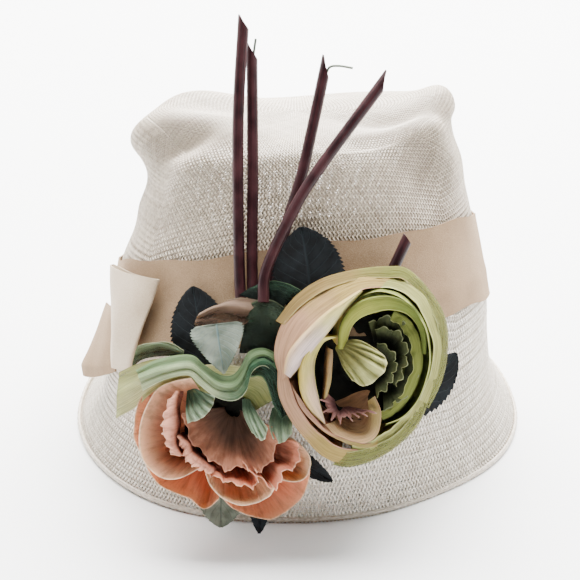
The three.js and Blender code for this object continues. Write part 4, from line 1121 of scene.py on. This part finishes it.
def weave():
    """All crossings of the weave and the strands between them. On the top, strands run along the two
    diagonals of a square patch; on the sides they run down to the left and to the right. Each
    crossing has two strands, and they change over and under from one crossing to the next."""
    half_rows = int(round(2 * (ROW_DISTANCES[-1] - TOP_HALF_SIDE + ROW_STEP_LOSS) / LAST_ROW_STEP))
    m = np.arange(STRANDS_ROUND)[:, None]
    k = np.arange(half_rows + 1)[None, :]
    across = (m + 0.5 + k / 2) % STRANDS_ROUND
    distance, angle = side_place(across, k / 2 + 0 * m, half_rows / 2)
    side_number = m * (half_rows + 1) + k

    half_side = SIDE_CELLS // 2
    index = np.arange(-2 * half_side - 1, 2 * half_side + 2)
    i, j = np.meshgrid(index, index, indexing="ij")
    a = (i + j + 1) / 2
    b = (i - j) / 2
    inside = (np.abs(a) < half_side) & (np.abs(b) < half_side)
    edge = np.maximum(np.abs(a), np.abs(b)) == half_side
    number = np.full(i.shape, -1)
    number[inside] = side_number.size + np.arange(inside.sum())
    top_distance, top_angle = top_place(a[inside] / half_side, b[inside] / half_side)
    right = edge & (a == half_side)
    back = edge & (b == half_side)
    left = edge & (a == -half_side)
    front = edge & (b == -half_side)
    around = np.zeros(i.shape)
    around[right] = b[right] + half_side
    around[back] = SIDE_CELLS + half_side - a[back]
    around[left] = 2 * SIDE_CELLS + half_side - b[left]
    around[front] = 3 * SIDE_CELLS + a[front] + half_side
    edge_strand = np.floor(around).astype(int) % STRANDS_ROUND
    number[edge] = edge_strand[edge] * (half_rows + 1)

    rows = row_at(np.concatenate([distance.ravel(), top_distance]))
    angles = np.concatenate([angle.ravel(), top_angle])
    middle = hat_point(rows, angles, -STRAW_WALL / 2)
    outward = hat_point(rows, angles) - middle

    # A ring is a crossing and one of its two strands: 0 runs down to the left, 1 down to the right
    down = np.arange(half_rows)[None, :]
    to_right = np.stack([side_number[:, :-1], side_number[:, 1:]], -1).reshape(-1, 2) * 2 + 1
    leftward = side_number[(m - 1) % STRANDS_ROUND, down + 1]
    to_left = np.stack([side_number[:, :-1], leftward], -1).reshape(-1, 2) * 2
    changes_strand = back | front

    def top_segments(start, end, family):
        """The strands of one family between two slices of the top's crossings."""
        real = (number[start] >= 0) & (number[end] >= 0) & ~(edge[start] & edge[end])
        rings = [number[at] * 2 + np.where(changes_strand[at], 1 - family, family) for at in (start, end)]
        return np.stack(rings, -1)[real], np.where(real)

    every, before, after = slice(None), slice(None, -1), slice(1, None)
    first_pairs, first_at = top_segments((every, before), (every, after), 0)
    second_pairs, second_at = top_segments((before, every), (after, every), 1)

    over = np.zeros(len(middle) * 2)
    sign = (1 - 2 * (k % 2)) + 0 * m
    over[side_number * 2 + 1] = sign
    over[side_number * 2] = -sign
    top_sign = 1 - 2 * ((i + j) % 2)
    over[number[inside] * 2] = top_sign[inside]
    over[number[inside] * 2 + 1] = -top_sign[inside]

    # Warp strands are the first family of the top: it leaves at the right and left sides as strand 0
    right_strand = np.repeat(np.arange(STRANDS_ROUND), half_rows)
    left_strand = ((m + down) % STRANDS_ROUND).ravel()
    right_weft = 1 - (right_strand // SIDE_CELLS) % 2
    left_weft = (left_strand // SIDE_CELLS) % 2
    top_weft = np.repeat([0, 1], [len(first_pairs), len(second_pairs)])
    top_strand = [2 * STRANDS_ROUND + first_at[0], 4 * STRANDS_ROUND + second_at[1]]
    level = np.tile(np.arange(half_rows), STRANDS_ROUND)
    segments = {
        "pairs": np.concatenate([to_right, to_left, first_pairs, second_pairs]),
        "weft": np.concatenate([right_weft, left_weft, top_weft]),
        "level": np.concatenate([level, level, np.full(len(top_weft), -1)]),
        "along": np.concatenate([level, level, first_at[1], second_at[0]]),
        "strand": np.concatenate([right_strand, STRANDS_ROUND + left_strand, *top_strand]),
    }
    return middle, outward, rows, over, segments


def ring_steps(middle, pairs):
    """The mean step along each ring's own strand, from the segments that meet there, each turned the
    same way as the first one found."""
    steps = middle[pairs[:, 1] // 2] - middle[pairs[:, 0] // 2]
    total = np.zeros((len(middle) * 2, 3))
    count = np.zeros(len(middle) * 2)
    lead = np.zeros((len(middle) * 2, 3))
    lead[pairs[:, 1]] = steps
    lead[pairs[:, 0]] = steps
    for end in (0, 1):
        turned = np.sign(np.einsum("ij,ij->i", steps, lead[pairs[:, end]]))
        np.add.at(total, pairs[:, end], steps * turned[:, None])
        np.add.at(count, pairs[:, end], 1)
    return total / np.maximum(count, 1)[:, None]


def strand_rings(middle, outward, rows, over, pairs):
    """The three corners of every strand at every crossing: left edge, crest and right edge. The
    strand lifts over or dips under, and its width is a share of the room between strands."""
    steps = ring_steps(middle, pairs)
    other = steps.reshape(-1, 2, 3)[:, ::-1].reshape(-1, 3)
    ways = unit(steps)
    normal = unit(np.cross(ways[0::2], ways[1::2]))
    normal = normal * np.sign(np.einsum("ij,ij->i", normal, outward))[:, None]
    normal = np.repeat(normal, 2, axis=0)
    room = np.linalg.norm(np.cross(ways, other), axis=1)
    cover = np.interp(np.repeat(rows, 2), COVER_ROWS, COVERS)
    side = np.cross(normal, ways)
    centre = np.repeat(middle, 2, axis=0) + normal * (over * STRAND_LIFT)[:, None]
    wide = side * (room * cover / 2)[:, None]
    thick = normal * STRAND_THICK / 2
    return np.stack([centre - wide - thick / 2, centre + thick, centre + wide - thick / 2], axis=1), ways


def straw_piece(name, node, corners, ways, middle, segments, chosen, seed):
    """One set of strands as closed ribbons with three faces to a segment and a cap at each loose end."""
    pairs = segments["pairs"][chosen]
    step = middle[pairs[:, 1] // 2] - middle[pairs[:, 0] // 2]
    used, packed = np.unique(pairs, return_inverse=True)
    packed = packed.reshape(pairs.shape)

    def ring_numbers(end):
        """The three corners of each ring at one end, in an order that follows the segment."""
        against = np.einsum("ij,ij->i", ways[pairs[:, end]], step) < 0
        order = np.where(against[:, None], [[2, 1, 0]], [[0, 1, 2]])
        return packed[:, end][:, None] * 3 + order

    start = ring_numbers(0)
    end = ring_numbers(1)
    walls = np.stack([start, end, np.roll(end, -1, 1), np.roll(start, -1, 1)], axis=-1).reshape(-1, 4)
    first_seen, seen = np.unique(packed.ravel(), return_index=True, return_counts=True)[1:]
    loose = first_seen[seen == 1]
    at_start = loose[loose % 2 == 0] // 2
    at_end = loose[loose % 2 == 1] // 2
    caps = np.concatenate([start[at_start], end[at_end][:, ::-1]])
    points = in_frame(corners[used].reshape(-1, 3))
    along = segments["along"][chosen][:, None]
    u = np.arange(3)[None, :] / 3
    wall_uv = quad_uv(along, along + 1, u, u + 1 / 3)[..., ::-1].reshape(-1, 2)
    cap_uv = np.zeros((caps.size, 2))
    tones = np.random.default_rng(seed).random(8 * STRANDS_ROUND)[segments["strand"][chosen]]
    face_tones = np.concatenate([np.repeat(tones, 3), tones[at_start], tones[at_end]])
    if inside_out(points, walls):
        walls = walls[:, ::-1]
        caps = caps[:, ::-1]
    uv = np.concatenate([wall_uv, cap_uv])
    piece = make_piece(name, points, [walls, caps], uv, [node], MATERIALS[node], sharp=180)
    layer = piece.data.attributes.new("tone", "FLOAT", "FACE")
    layer.data.foreach_set("value", face_tones.astype(np.float32))


def build_straw():
    """Warp and weft strands of the crown and of the brim. The two meet behind the ribbon."""
    middle, outward, rows, over, segments = weave()
    corners, ways = strand_rings(middle, outward, rows, over, segments["pairs"])
    level = segments["level"]
    at_join = np.abs(rows[segments["pairs"][:, 0] // 2] - JOIN_ROW) < JOIN_SPREAD
    brim = (level >= 0) & (level >= np.median(level[at_join]))
    odd = segments["strand"] % 2 == 1
    weft = segments["weft"] == 1
    # The crown's sets take the darker straw copy, painted shade, and the brim's the lighter copy, painted
    # light
    sets = (
        ("crown_warp", "crown", ~brim & ~weft & odd),
        ("crown_warp_between", "crown", ~brim & ~weft & ~odd),
        ("crown_weft", "crown", ~brim & weft & odd),
        ("crown_weft_between", "crown", ~brim & weft & ~odd),
        ("brim_warp", "brim", brim & ~weft),
        ("brim_weft", "brim", brim & weft),
    )
    for seed, (name, node, chosen) in enumerate(sets, FIRST_SEED):
        straw_piece(name, node, corners, ways, middle, segments, chosen, seed)


def build_hem():
    """The turned edge of the brim: a flattened tube along the edge, with a slight twist of its strands."""
    angles = whole_turn(HEM_STEPS)
    turns = whole_turn(HEM_SIDES)
    low = hat_point(0.0, angles, -HEM_INSET)
    inward = unit(hat_point(0.0, angles, -3 * HEM_INSET) - hat_point(0.0, angles))
    bulge = 1 + HEM_BULGE * np.cos(angles * HEM_TWISTS)[:, None]
    across = HEM_HALF_WIDE * np.cos(turns)[None, :] * bulge
    high = HEM_MIDDLE + HEM_HALF_HIGH * np.sin(turns)[None, :] * bulge
    points = low[:, None] - inward[:, None] * across[..., None]
    points[..., 2] += np.maximum(high, 0.0)
    points = in_frame(points).reshape(-1, 3)
    number = np.arange(len(points)).reshape(HEM_STEPS, HEM_SIDES)
    ahead = np.roll(number, -1, 0)
    quads = np.stack([number, ahead, np.roll(ahead, -1, 1), np.roll(number, -1, 1)], axis=-1).reshape(-1, 4)
    if inside_out(points, quads):
        quads = quads[:, ::-1]
    step = np.arange(HEM_STEPS)[:, None]
    turn = np.arange(HEM_SIDES)[None, :] / HEM_SIDES
    uv = quad_uv(step, step + 1, turn, turn + 1 / HEM_SIDES)[..., ::-1].reshape(-1, 2)
    make_piece("brim_hem", points, [quads], uv, ["brim"], MATERIALS["brim"], 180)


# Ribbon

def ripple(waves, u, v):
    """A sum of sine waves over two ways, from rows of height, count along u and count along v."""
    return sum(height * np.sin(along * u + across * v) for height, along, across in waves)


def rows_at(places, heights):
    """The values of a table of rows at heights between its rows, where each row is one step."""
    known = np.arange(len(places))
    return {key: np.interp(heights, known, [place[key] for place in places]) for key in places[0]}


def ribbon_piece(name, points, look, wraps=False):
    """A ribbon sheet over the node of the same name."""
    cloth_piece(f"{name}_cloth", points, RIBBON_THICK, [name], MATERIALS[look],
                wraps)


def build_band():
    """The ribbon round the foot of the crown, with a soft fold along it and a slight wave."""
    angles = whole_turn(BAND_STEPS)
    rows = np.linspace(BAND_FOOT_ROW, BAND_TOP_ROW, BAND_ROWS)
    angle, row = np.meshgrid(angles, rows, indexing="ij")
    across = (row - BAND_FOOT_ROW) / (BAND_TOP_ROW - BAND_FOOT_ROW)
    fold = 0.25 * np.exp(-((across - 0.35 - 0.1 * np.sin(2 * angle)) / 0.07) ** 2)
    lip = 0.21 * np.exp(-(np.minimum(across, 1 - across) / 0.05) ** 2)
    out = GAP + RIBBON_LIFT + ripple(BAND_WAVES, angle, across) + fold + lip
    points = hat_point(row + ripple(BAND_EDGE_WAVES, angle, 1), angle, out)
    ribbon_piece("ribbon_band", points, "velvet", wraps=True)


def build_loop():
    """The flattened loop: a closed ring of ribbon at each height, open at its top and its foot."""
    heights = np.linspace(0, len(LOOP_ROWS) - 1, LOOP_STEPS)
    value = rows_at(LOOP_ROWS, heights)
    turns = whole_turn(LOOP_SIDES)[:, None]
    middle = np.radians((value["from"] + value["to"]) / 2)
    spread = np.radians((value["to"] - value["from"]) / 2)
    flat = np.sign(np.cos(turns)) * np.abs(np.cos(turns)) ** LOOP_SQUARENESS
    over = (1 + flat) / 2
    deep = value["deep"] * (1 - LOOP_PINCH * over) - RIBBON_LIFT
    out = value["out"] + deep * np.sin(turns) + LOOP_CREASE * np.sin(3 * turns + heights * 2)
    points = hat_point(value["row"] + value["slant"] * over, middle + spread * flat, out)
    # Lighter ribbon colours on the loop: painted light
    ribbon_piece("ribbon_loop", points, "satin", wraps=True)


def build_tail():
    """The tail: a strip between two angles at each row, with a soft fold down its middle."""
    heights = np.linspace(0, len(TAIL_ROWS) - 1, TAIL_STEPS)
    value = rows_at(TAIL_ROWS, heights)
    share = np.linspace(0, 1, TAIL_COLUMNS)[:, None]
    angle = np.radians(value["from"] + (value["to"] - value["from"]) * share)
    fold = 0.25 * np.cos(2 * math.pi * share) + 0.1 * np.sin(9 * share + heights)
    out = value["out"] + (value["close"] - value["out"]) * share
    points = hat_point(value["row"] + value["slant"] * share, angle, out + fold)
    ribbon_piece("ribbon_tail", points, "velvet")


# Flowers

def photo_place(points):
    """Right, up and out of points given by photo pixel and distance out, seen by the camera."""
    x, y, out = np.moveaxis(np.asarray(points, float), -1, 0)
    scale = (SPRAY_DISTANCE - out) / PHOTO_FOCUS
    right = (x - PHOTO_MIDDLE) * scale + SPRAY_RIGHT
    up = (PHOTO_MIDDLE - y) * scale + SPRAY_UP
    return np.stack([right, up, out], axis=-1)


def petal_line(given, following, middle):
    """A line of a petal: points of its own, or a share of the following line, lowered."""
    if isinstance(given, list):
        return photo_place(given)
    share, drop = given
    line = middle + (following - middle) * np.array([share, share, 1.0])
    line[:, 2] = following[:, 2] - drop
    return line


def petal_points(flower, petal):
    """One petal: smooth curves along the foot, belly and rim, joined by smooth curves across, with
    leaning waves that grow towards the rim, fine crinkles, and folds along the petal where it has
    them: each is a sine of the two ways, added outwards, sideways or away from the hat."""
    pleats = petal.get("pleats", 0)
    fold_count = petal.get("folds", 0)
    waves = petal.get("waves", PETAL_WAVES)
    ruffle = petal.get("ruffle", PETAL_RUFFLE)
    middle = np.append(photo_place((*petal.get("middle", flower["pixel"]), 0.0))[:2], 0.0)
    columns = max(PETAL_MIN_COLUMNS, pleats * PLEAT_COLUMNS + 1, waves * WAVE_COLUMNS + 1)
    rim = petal_line(petal["rim"], None, middle)
    belly = petal_line(petal["belly"], rim, middle)
    foot = petal_line(petal["foot"], belly, middle)
    lines = np.stack([spline(line, columns) for line in (foot, belly, rim)])
    place = spline(lines, PETAL_ROWS).transpose(1, 0, 2)
    u, v = np.meshgrid(np.linspace(0, 1, columns), np.linspace(0, 1, PETAL_ROWS), indexing="ij")
    turn = 2 * math.pi * waves * u + rim[0, 0] + 1.1 * np.sin(5 * u + rim[0, 1])
    growth = v**RUFFLE_GROWTH
    lift = ruffle * (np.sin(turn) + 0.45 * np.sin(2.3 * turn)) * growth
    crinkle = CRINKLE_HEIGHT * np.sin(37 * u + 4 * np.sin(6 * v + 9 * u)) * v * (1 - 0.4 * v)
    folds = FOLD_HEIGHT * np.sin(2 * math.pi * fold_count * v + 3 * u) * 4 * v * (1 - v)
    outward = unit((place - middle) * np.array([1.0, 1.0, 0.0]))
    sideways = np.stack([-outward[..., 1], outward[..., 0], 0 * u], axis=-1)
    place = place + outward * (lift * 0.45)[..., None]
    place = place + sideways * (ruffle * 0.3 * np.cos(turn) * growth)[..., None]
    place[..., 2] += lift * 0.7 + crinkle + folds * np.sign(fold_count)
    if pleats:
        place[..., 2] += PLEAT_HEIGHT * v * (4 * np.abs((u * pleats) % 1 - 0.5) - 1)
    thin = PETAL_THICK * (1 - EDGE_THINNING * np.maximum(np.abs(2 * u - 1), v) ** 8)
    return spray_point(place), thin


def flower_piece(name, points, thick, nodes, look):
    """A petal or leaf as its own sheet."""
    cloth_piece(name, points, thick, nodes, MATERIALS[look])


def build_petal(flower, petal):
    """One petal of a flower, or a loose piece of cloth."""
    points, thick = petal_points(flower, petal)
    name = f"{flower['at']}_{petal['at']}" if flower["core"] else petal["at"]
    flower_piece(f"{name}_petal", points, thick, [name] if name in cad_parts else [], petal["look"])


def build_cup(flower):
    """A shallow bowl round the core that closes the bottom of a flower, near-black as painted shade in its
    hollow.
    """
    turn = whole_turn(CUP_SIDES)
    share = np.linspace(CUP_HOLE, 1, CUP_ROWS)
    turns, v = np.meshgrid(turn, share, indexing="ij")
    right, up, out = flower["middle"]
    crinkle = 0.5 * np.sin(9 * turns) * v + 0.3 * np.sin(17 * turns + 9 * v) * v
    place = np.stack([
        right + flower["cup"] * v * np.cos(turns),
        up + flower["cup"] * v * np.sin(turns),
        out + CUP_LIFT + CUP_DEPTH * v**2 + crinkle,
    ], axis=-1)
    cloth_piece(f"{flower['at']}_shade_cup", spray_point(place), PETAL_THICK, [],
                MATERIALS["cavity"], wraps=True)


def build_core(flower):
    """A flat ball with rows of short bumps, like packed stamens."""
    tilt = np.linspace(CORE_TIP, math.pi - CORE_TIP, CORE_ROWS)[:, None]
    turn = whole_turn(CORE_SIDES)[None, :]
    radius = flower["core"] * (0.97 + 0.05 * np.sin(12 * turn) * np.sin(14 * tilt))
    right, up, out = flower["middle"]
    place = np.stack([
        right + radius * np.sin(tilt) * np.cos(turn),
        up + radius * np.sin(tilt) * np.sin(turn),
        out + radius * np.cos(tilt) * CORE_FLATNESS,
    ], axis=-1)
    points, faces, uvs = tube(in_frame(spray_point(place)))
    name = f"{flower['at']}_core"
    make_piece(f"{name}_ball", points, faces, uvs, [name], MATERIALS["dark_green"])


def blade_points(blade):
    """One leaf: a quadratic curve from base to tip, with half the width times the two powers of the
    way along, teeth on both edges, and a cupped section with a pressed middle."""
    along_steps = np.linspace(0, 1, blade["teeth"] * TOOTH_COLUMNS + 1)
    u, v = np.meshgrid(along_steps, np.linspace(0, 1, BLADE_ROWS), indexing="ij")
    base, bend, tip = (np.array(blade[key], float) for key in ("base", "bend", "tip"))
    t = u[..., None]
    centre = (1 - t) ** 2 * base + 2 * t * (1 - t) * bend + t**2 * tip
    along = unit(2 * (1 - t) * (bend - base) + 2 * t * (tip - bend))
    side = unit(np.stack([along[..., 1], -along[..., 0], 0 * u], axis=-1))
    peak = blade["near"] / (blade["near"] + blade["far"])

    def width(x):
        """The width at a share of the way along, before it is scaled to the widest place."""
        return x ** blade["near"] * (1 - x) ** blade["far"]

    half = np.maximum(blade["half"] * width(u) / width(peak), BLADE_MIN_HALF)
    across = 2 * v - 1
    half = half * (1 - TOOTH_DEPTH * ((u * blade["teeth"]) % 1) * across**2)
    place = centre + side * (across * half)[..., None]
    place[..., 2] += BLADE_CUP * half * across**2
    place[..., 2] += 0.35 * np.abs(across) - 0.25 * np.exp(-(across / 0.12) ** 2)
    place[..., 2] += 0.6 * np.sin(7 * u) * across + 0.35 * np.sin(15 * u + 3 * across) * across**2
    thin = LEAF_THICK * (1 - EDGE_THINNING * np.maximum(np.abs(across), np.abs(2 * u - 1)) ** 8)
    return spray_point(place), thin


def build_blade(blade):
    """One leaf."""
    points, thick = blade_points(blade)
    flower_piece(f"{blade['at']}_cloth", points, thick, [blade["at"]], blade["look"])


def rings_along(route, steps, turn):
    """A path along a route, and the directions across it at each turn."""
    path = smooth_path(spray_point(np.array(route, float)), steps)
    along = unit(np.gradient(path, axis=0))
    side = unit(np.array([1.0, 0, 0]) - along * along[:, :1])
    other = np.cross(along, side)
    return path, np.cos(turn)[:, None] * side[:, None] + np.sin(turn)[:, None] * other[:, None]


def build_stem(stem):
    """A tube along a path with a slanted open end: outer rings up, a rounded rim, and the bore."""
    turn = whole_turn(STEM_SIDES)
    path, ring = rings_along(stem["route"], STEM_STEPS, turn)
    onward = unit(path[-1] - path[-2])
    cut = -stem["slant"] * 0.5 * (1 + np.cos(turn))
    near = np.linspace(0, 1, STEM_STEPS)[:, None] ** 12
    outer = path[:, None] + ring * STEM_RADIUS * (1 + STEM_RIBS * np.sin(7 * turn)[:, None])
    outer = outer + onward * (cut * near)[..., None]
    tip = path[-1] + onward * cut[:, None]
    rim = tip + ring[-1] * (STEM_RADIUS - STEM_RIM) + onward * STEM_RIM_HEIGHT
    bore = ring[-1] * (STEM_RADIUS - STEM_WALL)
    deep = path[-1] + bore - onward * (stem["slant"] + STEM_BORE_DEPTH)
    points, faces, uvs = tube(in_frame(np.concatenate([outer, rim[None], (tip + bore)[None], deep[None]])))
    make_piece(f"{stem['at']}_tube", points, faces, uvs, [stem["at"]], MATERIALS["stem"], 40)


def build_wire(wire):
    """A round wire along a path."""
    path, ring = rings_along(wire["route"], WIRE_STEPS, whole_turn(WIRE_SIDES))
    points, faces, uvs = tube(in_frame(path[:, None] + ring * WIRE_RADIUS))
    make_piece(f"{wire['at']}_end", points, faces, uvs, [wire["at"]], MATERIALS["wire"])


# Floor, light and camera

def add_floor():
    """A wide pale floor under the hat."""
    corners = [(x * FLOOR_HALF, y * FLOOR_HALF, 0) for x, y in ((-1, -1), (1, -1), (1, 1), (-1, 1))]
    mesh = bpy.data.meshes.new("floor")
    mesh.from_pydata(corners, [], [(0, 1, 2, 3)])
    mesh.materials.append(floor_material())
    new_object("floor", mesh)


def face(thing, place, way):
    """Puts a light or the camera at a place and turns it to look along a way."""
    thing.location = place
    thing.rotation_mode = "QUATERNION"
    thing.rotation_quaternion = way.to_track_quat("-Z", "Y")


def add_light(light):
    """A soft square light that faces the target."""
    data = bpy.data.lights.new(light["at"], "AREA")
    data.size = light["size"]
    data.energy = light["power"]
    data.color = light["colour"]
    place = Vector(light["place"])
    face(new_object(light["at"], data), place, LIGHT_TARGET - place)


def add_camera():
    """The camera at the photo's angle, at its real distance."""
    back = Vector((0, -math.cos(CAMERA_ELEVATION), math.sin(CAMERA_ELEVATION)))
    data = bpy.data.cameras.new("camera")
    data.sensor_width = SENSOR_WIDTH
    data.lens = CAMERA_LENS
    data.clip_start = 0.01
    camera = new_object("camera", data)
    face(camera, Vector(in_frame(CAMERA_TARGET)) + back * CAMERA_DISTANCE * MM, -back)
    bpy.context.scene.camera = camera


def add_world():
    """A pale even sky: weak as a light that fills the shadows, bright where the camera sees it."""
    world = bpy.data.worlds.new("studio")
    world.use_nodes = True
    tree = Tree(world.node_tree)
    sky = tree.nodes["Background"].inputs
    sky["Color"].default_value = SKY_COLOUR
    seen = tree.nodes.new("ShaderNodeLightPath").outputs["Is Camera Ray"]
    tree.give(sky["Strength"], tree.math("ADD", tree.math("MULTIPLY", seen, SKY_SEEN), SKY_LIGHT))
    bpy.context.scene.world = world


add_camera()
add_world()
add_floor()
for light in LIGHTS:
    add_light(light)
build_straw()
build_hem()
build_band()
build_tail()
build_loop()
for stem in STEMS:
    build_stem(stem)
for wire in WIRES:
    build_wire(wire)
for flower in FLOWERS:
    build_core(flower)
    build_cup(flower)
    for petal in flower["petals"]:
        build_petal(flower, petal)
for petal in LOOSE:
    build_petal(NO_FLOWER, petal)
for blade in BLADES:
    build_blade(blade)
